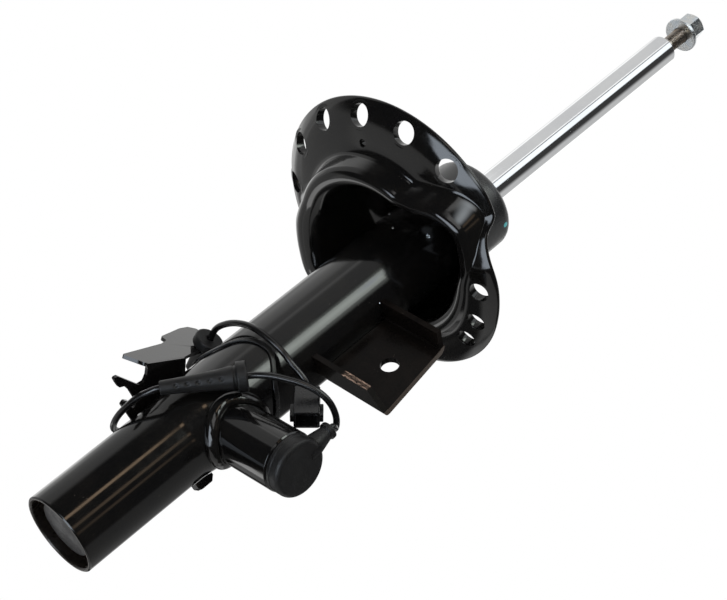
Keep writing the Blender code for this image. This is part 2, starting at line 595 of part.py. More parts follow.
def make_top_end(finish):
    """Rod guide, bush, seal and retainer in the tube's top, and the bump cap over them."""
    tube_bore = UPPER_TUBE_RADIUS - UPPER_TUBE_WALL - SEAT_GAP
    boss = PRESSURE_TUBE_BORE - SEAT_GAP
    rod_hole = ROD_RADIUS + SLIDE_GAP
    bush_outer = GUIDE_BORE - SEAT_GAP
    bush_bottom = GUIDE_TOP - BUSH_HEIGHT
    turned("rod_guide", finish["steel"],
           [(boss, GUIDE_BOTTOM), (boss, GUIDE_LIP_BOTTOM), (tube_bore, GUIDE_LIP_BOTTOM),
            (tube_bore, GUIDE_TOP), (GUIDE_BORE, GUIDE_TOP),
            (GUIDE_BORE, bush_bottom - SEAT_GAP), (rod_hole + SEAT_GAP, bush_bottom - SEAT_GAP),
            (rod_hole + SEAT_GAP, GUIDE_BOTTOM)], INNER_STEPS)
    ring("rod_bush", finish["bronze"], rod_hole, bush_outer, bush_bottom, GUIDE_TOP,
         INNER_STEPS)
    seal_bottom = GUIDE_TOP + SEAT_GAP
    seal_top = seal_bottom + SEAL_HEIGHT
    retainer_bottom = seal_top - SEAL_LIP_HEIGHT + SEAT_GAP
    turned("rod_seal", finish["rubber"],
           [(tube_bore, seal_bottom), (tube_bore, seal_top - SEAL_LIP_HEIGHT),
            (SEAL_LIP_RADIUS, seal_top - SEAL_LIP_HEIGHT), (SEAL_LIP_RADIUS, seal_top),
            (rod_hole, seal_top), (rod_hole, seal_bottom)], INNER_STEPS)
    turned("seal_retainer", finish["steel"],
           [(tube_bore, retainer_bottom), (tube_bore, RETAINER_TOP),
            (RETAINER_BORE, RETAINER_TOP), (RETAINER_BORE, retainer_bottom)], INNER_STEPS)

    round_steps = 4
    arc = []
    for step in range(round_steps + 1):
        turn = math.pi / 2 * step / round_steps
        arc.append((BUMP_CAP_RADIUS - BUMP_CAP_ROUND * (1 - math.cos(turn)),
                    BUMP_CAP_TOP - BUMP_CAP_ROUND * (1 - math.sin(turn))))
    inner = UPPER_TUBE_RADIUS + SEAT_GAP
    roof = TUBE_LENGTH + SEAT_GAP
    turned("bump_cap", finish["plastic"],
           [(BUMP_CAP_RADIUS, BUMP_CAP_SKIRT), *arc, (BUMP_CAP_ROD_HOLE, BUMP_CAP_TOP),
            (BUMP_CAP_ROD_HOLE, roof), (inner, roof), (inner, BUMP_CAP_SKIRT)])


def make_rod_and_piston(finish):
    """The piston rod with what is fixed on it, and the piston band that only slides."""
    rod_axis = bpy.data.objects.new("rod_axis", None)
    rod_axis.location = (0.0, 0.0, ROD_BOTTOM)
    bpy.context.scene.collection.objects.link(rod_axis)
    stud_bottom = -PISTON_STUD_LENGTH
    shoulder = ROD_SHOULDER - ROD_BOTTOM
    stud_top = STUD_TOP - ROD_BOTTOM
    turned("piston_rod", finish["chrome"],
           [(0.0, stud_bottom), (PISTON_STUD_RADIUS, stud_bottom), (PISTON_STUD_RADIUS, 0.0),
            (ROD_RADIUS, 0.0), (ROD_RADIUS, shoulder - ROD_END_CHAMFER),
            (ROD_RADIUS - ROD_END_CHAMFER, shoulder), (STUD_RADIUS, shoulder),
            (STUD_RADIUS, stud_top - STUD_CHAMFER), (STUD_RADIUS - STUD_CHAMFER, stud_top),
            (0.0, stud_top)], parent=rod_axis)

    hole = PISTON_STUD_RADIUS + SEAT_GAP
    piston_radius = PRESSURE_TUBE_BORE - SLIDE_GAP
    upper_shim_top = -SEAT_GAP
    upper_shim_bottom = upper_shim_top - PISTON_SHIM_HEIGHT
    piston_top = upper_shim_bottom - SEAT_GAP
    piston_bottom = piston_top - PISTON_HEIGHT
    lower_shim_top = piston_bottom - SEAT_GAP
    lower_shim_bottom = lower_shim_top - PISTON_SHIM_HEIGHT
    nut_top = lower_shim_bottom - SEAT_GAP
    groove_radius = piston_radius - PISTON_BAND_THICKNESS - SEAT_GAP
    groove_edge = (PISTON_HEIGHT - PISTON_BAND_HEIGHT) / 2 - SEAT_GAP
    ring("upper_shims", finish["steel"], hole, PISTON_SHIM_RADIUS, upper_shim_bottom,
         upper_shim_top, SMALL_STEPS, rod_axis)
    turned("piston", finish["grey_metal"],
           [(piston_radius, piston_bottom), (piston_radius, piston_bottom + groove_edge),
            (groove_radius, piston_bottom + groove_edge),
            (groove_radius, piston_top - groove_edge),
            (piston_radius, piston_top - groove_edge), (piston_radius, piston_top),
            (hole, piston_top), (hole, piston_bottom)], INNER_STEPS, rod_axis)
    band_bottom = piston_bottom + groove_edge + SEAT_GAP
    ring("piston_band", finish["bronze"], groove_radius + SEAT_GAP, piston_radius,
         band_bottom, band_bottom + PISTON_BAND_HEIGHT, INNER_STEPS, rod_axis)
    ring("lower_shims", finish["steel"], hole, PISTON_SHIM_RADIUS, lower_shim_bottom,
         lower_shim_top, SMALL_STEPS, rod_axis)
    hexagon("piston_nut", finish["steel"], PISTON_NUT_RADIUS, hole,
            nut_top - PISTON_NUT_HEIGHT, nut_top, rod_axis)

    stop_hole = ROD_RADIUS + SEAT_GAP
    stop_top = REBOUND_STOP_ABOVE + REBOUND_STOP_HEIGHT
    ring("rebound_stop", finish["steel"], stop_hole, REBOUND_STOP_RADIUS,
         REBOUND_STOP_ABOVE, stop_top, INNER_STEPS, rod_axis)
    ring("rebound_buffer", finish["rubber"], stop_hole, REBOUND_STOP_RADIUS - REBOUND_BUFFER_INSET,
         stop_top + SEAT_GAP, stop_top + SEAT_GAP + REBOUND_BUFFER_HEIGHT, INNER_STEPS,
         rod_axis)
    make_rod_fasteners(finish, rod_axis)


def hexagon(name, finish, corner_radius, hole, bottom, top, parent):
    """A six-sided nut with a round hole."""
    nut = turned(name, finish, [(0.0, bottom), (corner_radius, bottom), (corner_radius, top),
                                (0.0, top)], 6, parent)
    modify(nut, "DIFFERENCE", plain_cylinder(name + "_bore", hole, bottom - hole, top + hole,
                                             parent))
    return nut


def make_rod_fasteners(finish, rod_axis):
    """The washer and the hexagon nut on the rod's stud."""
    hole = STUD_RADIUS + SEAT_GAP
    washer_bottom = WASHER_HEIGHT - ROD_BOTTOM
    nut_bottom = NUT_BOTTOM - ROD_BOTTOM
    edge = WASHER_THICKNESS / 5
    turned("rod_washer", finish["zinc"],
           [(WASHER_RADIUS - edge, washer_bottom), (WASHER_RADIUS, washer_bottom + edge),
            (WASHER_RADIUS, washer_bottom + WASHER_THICKNESS - edge),
            (WASHER_RADIUS - edge, washer_bottom + WASHER_THICKNESS),
            (hole, washer_bottom + WASHER_THICKNESS), (hole, washer_bottom)],
           parent=rod_axis)
    corner = NUT_ACROSS_FLATS / math.sqrt(3)
    nut_top = nut_bottom + NUT_HEIGHT
    nut = hexagon("rod_nut", finish["zinc"], corner, hole, nut_bottom, nut_top, rod_axis)
    flat = NUT_ACROSS_FLATS / 2
    beyond = NUT_CHAMFER / 2
    chamfer_space = turned(
        "nut_chamfer", None,
        [(0.0, nut_bottom - beyond), (flat - beyond, nut_bottom - beyond),
         (corner + beyond, nut_bottom + NUT_CHAMFER), (corner + beyond, nut_top - NUT_CHAMFER),
         (flat - beyond, nut_top + beyond), (0.0, nut_top + beyond)], 36, rod_axis)
    modify(nut, "INTERSECT", chamfer_space)


# ---- spring seat ---------------------------------------------------------------------
def dish_point(radius, azimuth):
    """(x, y) of points at a radius and azimuth about the offset centre of the dish."""
    away = math.radians(SEAT_OFFSET_AT)
    turn = np.radians(azimuth)
    return (SEAT_OFFSET * math.cos(away) + radius * np.cos(turn),
            SEAT_OFFSET * math.sin(away) + radius * np.sin(turn))


def flange_plane(x, y):
    """Height of the tilted plane that the dish's rim follows."""
    up = math.radians(SEAT_PLANE_UP_AT)
    return SEAT_PLANE_HEIGHT + SEAT_PLANE_SLOPE * (x * math.cos(up) + y * math.sin(up))


def flange_height(radius, azimuth):
    """Height of the flange at a radius and azimuth about the dish's centre."""
    x, y = dish_point(radius, azimuth)
    inset = around(SEAT_RIM_RADII, azimuth) - radius
    drop = (SEAT_CURL * (1 - np.exp(-inset / SEAT_CURL_REACH))
            + SEAT_CURL_SLOPE * inset) * around(SEAT_CURL_SHARES, azimuth)
    return flange_plane(x, y) + around(SEAT_RIM_LIFTS, azimuth) - drop


def flange_ring(share, azimuth):
    """Points of the flange, from its root (share 0) to its rim (share 1)."""
    root = around(SEAT_ROOT_RADII, azimuth)
    radius = root + (around(SEAT_RIM_RADII, azimuth) - root) * share
    x, y = dish_point(radius, azimuth)
    return np.stack([x, y, flange_height(radius, azimuth)], axis=-1)


def crest_ring(share, azimuth):
    """Points on the underside's ridge, from its inner edge (share 0) to its outer edge."""
    inner = around(SEAT_CREST_INNER, azimuth)
    outer = around(SEAT_CREST_OUTER, azimuth)
    x, y = dish_point(inner + (outer - inner) * share, azimuth)
    height = flange_plane(x, y) - around(SEAT_CREST_DEPTHS, azimuth)
    return np.stack([x, y, height], axis=-1)


def neck_ring(azimuth, height):
    """Points of the collar that is welded round the tube."""
    radius = UPPER_TUBE_RADIUS + SEAT_GAP + SEAT_SHEET / 2
    turn = np.radians(azimuth)
    return np.stack([radius * np.cos(turn), radius * np.sin(turn),
                     np.full_like(turn, height)], axis=-1)


def seat_rows(azimuth):
    """The middle surface of the pressed dish, as rows of points from collar to rim."""
    neck = neck_ring(azimuth, SEAT_ROOF_HEIGHT)
    inner_crest = crest_ring(0.0, azimuth)
    rows = [neck_ring(azimuth, SEAT_NECK_TOP), neck_ring(azimuth, SEAT_NECK_BOTTOM)]
    for share, drop in SEAT_ROOF_SHAPE:
        row = neck + (inner_crest - neck) * share
        row[:, 2] = neck[:, 2] + (inner_crest[:, 2] - neck[:, 2]) * drop
        rows.append(row)
    outer_crest, root = crest_ring(1.0, azimuth), flange_ring(0.0, azimuth)
    rows.append(outer_crest)
    rows.append((outer_crest + root) / 2)
    for share in SEAT_FLANGE_SHARES:
        rows.append(flange_ring(share, azimuth))
    return np.array(rows)


def sheet_from_rows(rows, thickness):
    """A closed sheet of even thickness about rows of points that each close on themselves."""
    along = np.gradient(rows, axis=0)
    round_it = np.roll(rows, -1, axis=1) - np.roll(rows, 1, axis=1)
    normals = np.cross(round_it, along)
    normals /= np.linalg.norm(normals, axis=2, keepdims=True)
    shape = bmesh.new()
    sides = []
    for side in (0.5, -0.5):
        points = rows + normals * thickness * side
        sides.append([[shape.verts.new(point) for point in row] for row in points])
    count = rows.shape[1]
    for top in sides:
        for lower, upper in zip(top, top[1:]):
            for index in range(count):
                after = (index + 1) % count
                shape.faces.new((lower[index], lower[after], upper[after], upper[index]))
    for row in (0, -1):
        near, far = sides[0][row], sides[1][row]
        for index in range(count):
            after = (index + 1) % count
            shape.faces.new((near[index], near[after], far[after], far[index]))
    return shape


def flange_spot(radius, azimuth):
    """The place of a hole, whose Z is square to the flange there."""
    step = 0.001
    middle = Vector((*dish_point(radius, azimuth), flange_height(radius, azimuth)))
    outer = Vector((*dish_point(radius + step, azimuth), flange_height(radius + step, azimuth)))
    turn = azimuth + math.degrees(step / radius)
    beside = Vector((*dish_point(radius, turn), flange_height(radius, turn)))
    return frame(middle, outer - middle, (outer - middle).cross(beside - middle))


def make_spring_seat(finish):
    """The pressed dish that carries the coil spring, with its holes and its weld."""
    azimuth = np.arange(SEAT_STEPS) * 360.0 / SEAT_STEPS
    shape = sheet_from_rows(seat_rows(azimuth), SEAT_SHEET)
    seat = add_object("spring_seat", shape, finish["black_coat"])
    holes = bmesh.new()
    groups = ((SEAT_LARGE_HOLES_AT, SEAT_LARGE_HOLE, SEAT_LARGE_HOLE_CIRCLE, 16),
              (SEAT_MEDIUM_HOLES_AT, SEAT_MEDIUM_HOLE, SEAT_MEDIUM_HOLE_CIRCLE, 14),
              (SEAT_DRAINS_AT, SEAT_DRAIN_HOLE, SEAT_DRAIN_CIRCLE, 8))
    for places, diameter, circle, sides in groups:
        for azimuth_at in places:
            bmesh.ops.create_cone(holes, cap_ends=True, segments=sides,
                                  radius1=diameter / 2, radius2=diameter / 2,
                                  depth=5 * SEAT_SHEET, matrix=flange_spot(circle, azimuth_at))
    modify(seat, "DIFFERENCE", add_object("seat_holes", holes, None))
    inner = UPPER_TUBE_RADIUS + SEAT_GAP
    bottom = SEAT_NECK_TOP + SEAT_GAP
    turned("seat_weld", finish["black_coat"],
           [(inner + SEAT_WELD_SIZE, bottom),
            (inner + SEAT_WELD_CROWN_OUT, bottom + SEAT_WELD_CROWN_UP),
            (inner, bottom + SEAT_WELD_SIZE), (inner, bottom)])


# ---- brackets ------------------------------------------------------------------------
def make_link_bracket(finish, space):
    """The channel that the stabiliser link bolts to."""
    sheet, depth = LINK_SHEET, LINK_FLANGE
    outer = [(0.0, LINK_BOTTOM), (0.0, LINK_TOP), (-depth, LINK_TOP),
             (-depth, LINK_TOP - sheet), (-sheet, LINK_TOP - sheet),
             (-sheet, LINK_BOTTOM + sheet), (-depth, LINK_BOTTOM + sheet),
             (-depth, LINK_BOTTOM)]
    bent = []
    for index, corner in enumerate(outer):
        if index in (0, 1):
            bent += corner_arc(outer, index, LINK_BEND_RADIUS)
        elif index in (4, 5):
            bent += corner_arc(outer, index, LINK_BEND_RADIUS - sheet)
        else:
            bent.append(corner)
    place = frame((LINK_ROOT, sheet, 0.0), (0, 1, 0), (1, 0, 0))
    bracket = extruded("link_bracket", finish["black_coat"], bent,
                       LINK_REACH_TOP - LINK_ROOT, place=place)
    slope = (LINK_REACH_BOTTOM - LINK_REACH_TOP) / (LINK_TOP - LINK_BOTTOM)
    for vertex in bracket.data.vertices:
        if vertex.co.x > (LINK_ROOT + LINK_REACH_TOP) / 2:
            vertex.co.x = LINK_REACH_TOP + slope * (LINK_TOP - vertex.co.z)
    modify(bracket, "DIFFERENCE", space)

    hole = turned("link_hole", None, [(0.0, -LINK_FLANGE), (LINK_HOLE / 2, -LINK_FLANGE),
                                      (LINK_HOLE / 2, LINK_FLANGE), (0.0, LINK_FLANGE)],
                  20, place=frame((LINK_HOLE_REACH, 0, LINK_HOLE_HEIGHT), (1, 0, 0),
                                  (0, 1, 0)))
    modify(bracket, "DIFFERENCE", hole)
    front = sheet - depth
    for name, corner, reach, start in (
            ("link_lower_corner", LINK_CORNER_BOTTOM, LINK_REACH_BOTTOM,
             LINK_BOTTOM - 2 * sheet),
            ("link_upper_corner", LINK_CORNER_TOP, LINK_REACH_TOP, LINK_TOP - 2 * sheet)):
        wedge = [(reach + depth, -sheet / 8), (reach - sheet / 3, -sheet / 8),
                 (corner, front - sheet / 8), (corner, 2 * front), (reach + depth, 2 * front)]
        cutter = extruded(name, None, wedge, 4 * sheet,
                          place=Matrix.Translation((0, 0, start)))
        modify(bracket, "DIFFERENCE", cutter)


def corner_arc(outline, index, radius, steps=3):
    """The arc that rounds one corner of an outline."""
    corner = Vector(outline[index])
    to_last = (Vector(outline[index - 1]) - corner).normalized()
    to_next = (Vector(outline[(index + 1) % len(outline)]) - corner).normalized()
    centre = corner + (to_last + to_next) * radius
    points = []
    for step in range(steps + 1):
        turn = math.pi / 2 * step / steps
        out = -to_next * math.cos(turn) - to_last * math.sin(turn)
        points.append(tuple(centre + out * radius))
    return points


def make_hose_bracket(finish, space, rear_grommet_space):
    """The sheet bracket with two claws for a hose and a plate for the cable's grommet."""
    tilt = math.radians(HOSE_BEND_TILT)
    bend_way = Vector((0.0, math.sin(tilt), math.cos(tilt)))
    far_side = -(UPPER_TUBE_RADIUS + SEAT_GAP + HOSE_SHEET)
    foot = Vector((far_side, *HOSE_BEND_FOOT))
    web = rounded(HOSE_WEB, HOSE_WEB_ROUND)
    bracket = extruded("hose_bracket", finish["black_coat"], web, HOSE_SHEET,
                       place=frame((far_side, 0, 0), (0, 1, 0), (1, 0, 0)))
    plate = rounded(HOSE_PLATE, HOSE_PLATE_ROUND)
    plate_normal = bend_way.cross(Vector((-1, 0, 0)))
    corner = foot + Vector((HOSE_SHEET / 2, 0, 0))
    leaf = extruded("hose_plate", None, plate, HOSE_SHEET,
                    place=frame(corner, (-1, 0, 0), -plate_normal))
    modify(bracket, "UNION", leaf)
    modify(bracket, "DIFFERENCE", space)
    modify(bracket, "DIFFERENCE", rear_grommet_space)


def make_locating_tab(finish, space):
    """The small tab that sets the strut's height and turn in its clamp."""
    turn = Matrix.Rotation(math.radians(TAB_AT), 4, "Z")
    cut = TAB_CORNER
    outline = [(TAB_ROOT, TAB_BOTTOM), (TAB_REACH - cut, TAB_BOTTOM),
               (TAB_REACH, TAB_BOTTOM + cut), (TAB_REACH, TAB_TOP - TAB_TOP_CORNER),
               (TAB_REACH - TAB_TOP_CORNER, TAB_TOP), (TAB_ROOT, TAB_TOP)]
    place = turn @ frame((0, TAB_WIDTH / 2, 0), (1, 0, 0), (0, -1, 0))
    tab = extruded("locating_tab", finish["black_coat"], outline, TAB_WIDTH, place=place)
    modify(tab, "DIFFERENCE", space)


# ---- side valve ----------------------------------------------------------------------
def make_valve_axis():
    """An empty whose Z runs out along the side valve, from the strut's axis."""
    axis = bpy.data.objects.new("valve_axis", None)
    turn = math.radians(VALVE_AT)
    axis.matrix_world = frame((0, 0, VALVE_HEIGHT), (0, 0, 1),
                              (math.cos(turn), math.sin(turn), 0))
    bpy.context.scene.collection.objects.link(axis)
    bpy.context.view_layer.update()
    return axis


def make_valve(finish, axis, space):
    """The side valve: housing, weld, port, valve body, coil, armature, spring and pole."""
    housing = turned("valve_housing", finish["black_coat"],
                     [(VALVE_RADIUS, VALVE_ROOT), (VALVE_RADIUS, VALVE_END - VALVE_EDGE),
                      (VALVE_RADIUS - VALVE_EDGE, VALVE_END), (VALVE_BORE, VALVE_END),
                      (VALVE_BORE, VALVE_FLOOR), (PORT_RADIUS + SEAT_GAP, VALVE_FLOOR),
                      (PORT_RADIUS + SEAT_GAP, VALVE_ROOT)], parent=axis)
    modify(housing, "DIFFERENCE", space)

    port = turned("inlet_port", finish["steel"],
                  [(PORT_RADIUS, PORT_ROOT), (PORT_RADIUS, PORT_END), (PORT_BORE, PORT_END),
                   (PORT_BORE, PORT_ROOT)], SMALL_STEPS, axis)
    middle_radius = MIDDLE_TUBE_BORE + MIDDLE_TUBE_WALL + SEAT_GAP
    port_space = turned("port_space", None,
                        [(0.0, MIDDLE_TUBE_BOTTOM), (middle_radius, MIDDLE_TUBE_BOTTOM),
                         (middle_radius, MIDDLE_TUBE_TOP), (0.0, MIDDLE_TUBE_TOP)])
    modify(port, "DIFFERENCE", port_space)

    fit = VALVE_BORE - SEAT_GAP
    socket = PORT_RADIUS + SEAT_GAP
    body_bottom = VALVE_FLOOR + SEAT_GAP
    turned("valve_body", finish["steel"],
           [(fit, body_bottom), (fit, VALVE_BODY_TOP), (PORT_BORE, VALVE_BODY_TOP),
            (PORT_BORE, PORT_END + SEAT_GAP), (socket, PORT_END + SEAT_GAP),
            (socket, body_bottom)], INNER_STEPS, axis)
    coil_bottom = VALVE_BODY_TOP + SEAT_GAP
    ring("valve_coil", finish["copper"], COIL_BORE, COIL_RADIUS, coil_bottom, COIL_TOP,
         INNER_STEPS, axis)
    armature_top = coil_bottom + ARMATURE_HEIGHT
    turned("armature", finish["steel"],
           [(0.0, coil_bottom - NEEDLE_LENGTH), (NEEDLE_RADIUS, coil_bottom - NEEDLE_LENGTH),
            (NEEDLE_RADIUS, coil_bottom), (ARMATURE_RADIUS, coil_bottom),
            (ARMATURE_RADIUS, armature_top), (0.0, armature_top)], SMALL_STEPS, axis)
    spring_bottom = armature_top + SEAT_GAP
    spring_top = spring_bottom + RETURN_SPRING_LENGTH
    ring("return_spring", finish["steel"], RETURN_SPRING_INNER, RETURN_SPRING_OUTER,
         spring_bottom, spring_top, SMALL_STEPS, axis)
    stub_bottom = armature_top + VALVE_TRAVEL + 2 * SEAT_GAP
    spring_room = spring_top + VALVE_TRAVEL + SEAT_GAP
    pocket = RETURN_SPRING_OUTER + SEAT_GAP
    pole_bottom = COIL_TOP + SEAT_GAP
    pole_top = pole_bottom + POLE_FLANGE
    turned("pole_piece", finish["steel"],
           [(0.0, spring_room), (pocket, spring_room), (pocket, stub_bottom),
            (POLE_STUB_RADIUS, stub_bottom), (POLE_STUB_RADIUS, pole_bottom),
            (fit, pole_bottom), (fit, pole_top), (0.0, pole_top)], INNER_STEPS, axis)
    ring_bottom = pole_top + SEAT_GAP
    ring("retaining_ring", finish["steel"], RETAINING_RING_BORE, fit, ring_bottom,
         ring_bottom + RETAINING_RING_HEIGHT, INNER_STEPS, axis)
    housing_space = plain_cylinder("housing_space", VALVE_RADIUS + SEAT_GAP, 0.0,
                                   VALVE_END + SEAT_GAP, axis, steps=ROUND_STEPS)
    make_valve_weld(finish, axis, space, housing_space)
    make_valve_cover(finish, axis, housing_space)


def make_valve_weld(finish, axis, space, housing_space):
    """The weld bead that follows the housing's foot round the tube."""
    route = []
    for index in range(WELD_POINTS):
        turn = math.tau * index / WELD_POINTS
        radius = VALVE_RADIUS + WELD_SPREAD
        across = radius * math.sin(turn)
        up = radius * math.cos(turn)
        tube = UPPER_TUBE_RADIUS + WELD_SINK
        route.append(Vector((up, across, math.sqrt(tube ** 2 - across ** 2))))
    shape = bmesh.new()
    rings = []
    sides = WELD_SIDES
    for index, point in enumerate(route):
        way = (route[(index + 1) % WELD_POINTS] - route[index - 1]).normalized()
        out = Vector((point.x, point.y, 0)).normalized()
        up = way.cross(out).normalized()
        out = up.cross(way).normalized()
        rings.append([shape.verts.new(point + WELD_RADIUS * (
            out * math.cos(math.tau * side / sides) + up * math.sin(math.tau * side / sides)))
            for side in range(sides)])
    for index in range(WELD_POINTS):
        near, far = rings[index], rings[(index + 1) % WELD_POINTS]
        for side in range(sides):
            after = (side + 1) % sides
            shape.faces.new((near[side], near[after], far[after], far[side]))
    weld = add_object("valve_weld", shape, finish["black_coat"], axis)
    modify(weld, "DIFFERENCE", space)
    modify(weld, "DIFFERENCE", housing_space)


def boot_place():
    """Where the cable boot starts and which way it points, along the valve's axes."""
    lean = math.radians(BOOT_LEAN)
    way = Vector((math.cos(lean), math.sin(lean), 0.0))
    return Vector((0.0, BOOT_SIDE, BOOT_REACH)), way


def make_valve_cover(finish, axis, housing_space):
    """The rubber cap over the valve's end, with the boot that the cable leaves from."""
    arc = []
    round_steps = 4
    for step in range(round_steps + 1):
        turn = math.pi / 2 * step / round_steps
        arc.append((COVER_RADIUS - COVER_ROUND * (1 - math.cos(turn)),
                    COVER_END - COVER_ROUND * (1 - math.sin(turn))))
    cover = turned("valve_cover", finish["rubber"],
                   [(0.0, VALVE_END), (COVER_RADIUS, VALVE_END), *arc, (0.0, COVER_END)],
                   parent=axis)
    start, way = boot_place()
    place = frame(start, (0, 0, 1), way)
    knob_start = BOOT_TIP - BOOT_KNOB_LENGTH
    knob_edge = BOOT_KNOB_EDGE
    boot = turned("cable_boot", None,
                  [(0.0, BOOT_FOOT), (BOOT_FOOT_RADIUS, BOOT_FOOT),
                   (BOOT_TIP_RADIUS, knob_start), (BOOT_KNOB_RADIUS, knob_start + knob_edge),
                   (BOOT_KNOB_RADIUS, BOOT_TIP - knob_edge),
                   (BOOT_KNOB_RADIUS - knob_edge, BOOT_TIP), (0.0, BOOT_TIP)], 20, axis,
                  place)
    modify(cover, "UNION", boot)
    modify(cover, "DIFFERENCE", housing_space)
    socket = turned("boot_socket", None,
                    [(0.0, BOOT_TIP - BOOT_SOCKET_DEPTH),
                     (CABLE_RADIUS + CABLE_FIT, BOOT_TIP - BOOT_SOCKET_DEPTH),
                     (CABLE_RADIUS + CABLE_FIT, BOOT_TIP + CUT_BEYOND),
                     (0.0, BOOT_TIP + CUT_BEYOND)], 12, axis, place)
    modify(cover, "DIFFERENCE", socket)


# ---- cable ---------------------------------------------------------------------------
def smooth_stretch(points, start_way, end_way):
    """Even points on a smooth curve through the given ones, leaving and arriving as told."""
    points = [Vector(point) for point in points]
    tangents = []
    for index, point in enumerate(points):
        if index == 0:
            tangents.append(start_way.normalized() * (points[1] - point).length)
        elif index == len(points) - 1:
            tangents.append(end_way.normalized() * (point - points[-2]).length)
        else:
            tangents.append((points[index + 1] - points[index - 1]) / 2)
    result = []
    for index in range(len(points) - 1):
        start, end = points[index], points[index + 1]
        count = max(1, round((end - start).length / CABLE_STEP))
        for step in range(count):
            share = step / count
            result.append(start * (1 + 2 * share) * (1 - share) ** 2
                          + end * share ** 2 * (3 - 2 * share)
                          + tangents[index] * share * (1 - share) ** 2
                          - tangents[index + 1] * share ** 2 * (1 - share))
    result.append(points[-1])
    return result


def cable_route(axis):
    """The cable's centre line, from inside the boot to inside the plug."""
    start, way = boot_place()
    turn = axis.matrix_world
    boot_start = turn @ (start + way * (BOOT_TIP - BOOT_SOCKET_DEPTH + SEAT_GAP))
    boot_tip = turn @ (start + way * (BOOT_TIP + CABLE_BOOT_LEAD))
    boot_way = turn.to_3x3() @ way
    front_top, front_tail = Vector(FRONT_GROMMET_TOP), Vector(FRONT_GROMMET_TAIL)
    rear_top, rear_tail = Vector(REAR_GROMMET_TOP), Vector(REAR_GROMMET_TAIL)
    mouth_way = Vector(PLUG_MOUTH_WAY).normalized()
    plug_back = Vector(PLUG_CENTRE) - mouth_way * (PLUG_LENGTH / 2 + PLUG_COLLAR_LENGTH)
    front_way = front_tail - front_top
    rear_way = rear_top - rear_tail
    route = [boot_start]
    route += smooth_stretch([boot_tip, *ROUTE_TO_FRONT_GROMMET, front_top], boot_way, front_way)
    route += smooth_stretch([front_tail, *ROUTE_ROUND_TUBE, rear_tail], front_way, rear_way)
    route += smooth_stretch([rear_top, *ROUTE_TO_PLUG, plug_back - mouth_way * CABLE_PLUG_LEAD],
                            rear_way, mouth_way)
    route.append(plug_back - mouth_way * SEAT_GAP)
    return route


def make_cable(finish, axis):
    """The two-core cable, in one piece through both grommets."""
    route = cable_route(axis)
    curve = bpy.data.curves.new("valve_cable", "CURVE")
    curve.dimensions = "3D"
    curve.bevel_depth = CABLE_RADIUS
    curve.bevel_resolution = 2
    curve.use_fill_caps = True
    spline = curve.splines.new("POLY")
    spline.points.add(len(route) - 1)
    for point, place in zip(spline.points, route):
        point.co = (*place, 1.0)
    curve.materials.append(finish["rubber"])
    cable = bpy.data.objects.new("valve_cable", curve)
    bpy.context.scene.collection.objects.link(cable)
    length = sum((b - a).length for a, b in zip(route, route[1:]))
    print("cable: %d points, %.4f m long" % (len(route), length))


def make_grommet(name, finish, top, tail):
    """A moulded grommet on the cable: flange, neck and a tapered sleeve to its tail."""
    top, tail = Vector(top), Vector(tail)
    length = (top - tail).length
    bore = CABLE_RADIUS + CABLE_FIT
    flange_bottom = length - GROMMET_FLANGE_LENGTH
    neck_bottom = flange_bottom - GROMMET_NECK_LENGTH
    edge = GROMMET_EDGE
    outline = [(GROMMET_TAIL_RADIUS, 0.0),
               (GROMMET_TAIL_RADIUS + GROMMET_TAIL_SWELL, 0.35 * neck_bottom),
               (GROMMET_BODY_RADIUS - 2 * GROMMET_TAIL_SWELL, 0.8 * neck_bottom),
               (GROMMET_BODY_RADIUS, neck_bottom), (GROMMET_NECK_RADIUS, neck_bottom + edge),
               (GROMMET_NECK_RADIUS, flange_bottom - edge),
               (GROMMET_FLANGE_RADIUS, flange_bottom),
               (GROMMET_FLANGE_RADIUS, length - edge),
               (GROMMET_FLANGE_RADIUS - edge, length), (bore, length), (bore, 0.0)]
    return turned(name, finish["rubber"], outline, GROMMET_STEPS,
                  place=frame(tail, (0, 0, 1), top - tail))


def make_rear_grommet_space():
    """A cutter that opens the bracket's plate round the rear grommet."""
    top, tail = Vector(REAR_GROMMET_TOP), Vector(REAR_GROMMET_TAIL)
    length = (top - tail).length
    step = length - GROMMET_FLANGE_LENGTH - GROMMET_EDGE - SEAT_GAP
    narrow = GROMMET_BODY_RADIUS + SEAT_GAP
    wide = GROMMET_FLANGE_RADIUS + SEAT_GAP
    outline = [(0.0, -length), (narrow, -length), (narrow, step), (wide, step),
               (wide, 2 * length), (0.0, 2 * length)]
    return turned("rear_grommet_space", None, outline, GROMMET_STEPS,
                  place=frame(tail, (0, 0, 1), top - tail))


def plug_place():
    """The plug's matrix: Z towards its mouth, X across its width."""
    return frame(PLUG_CENTRE, PLUG_WIDE_WAY, PLUG_MOUTH_WAY)


def box_outline(width, depth):
    """The corners of a centred rectangle."""
    return [(-width / 2, -depth / 2), (width / 2, -depth / 2), (width / 2, depth / 2),
            (-width / 2, depth / 2)]


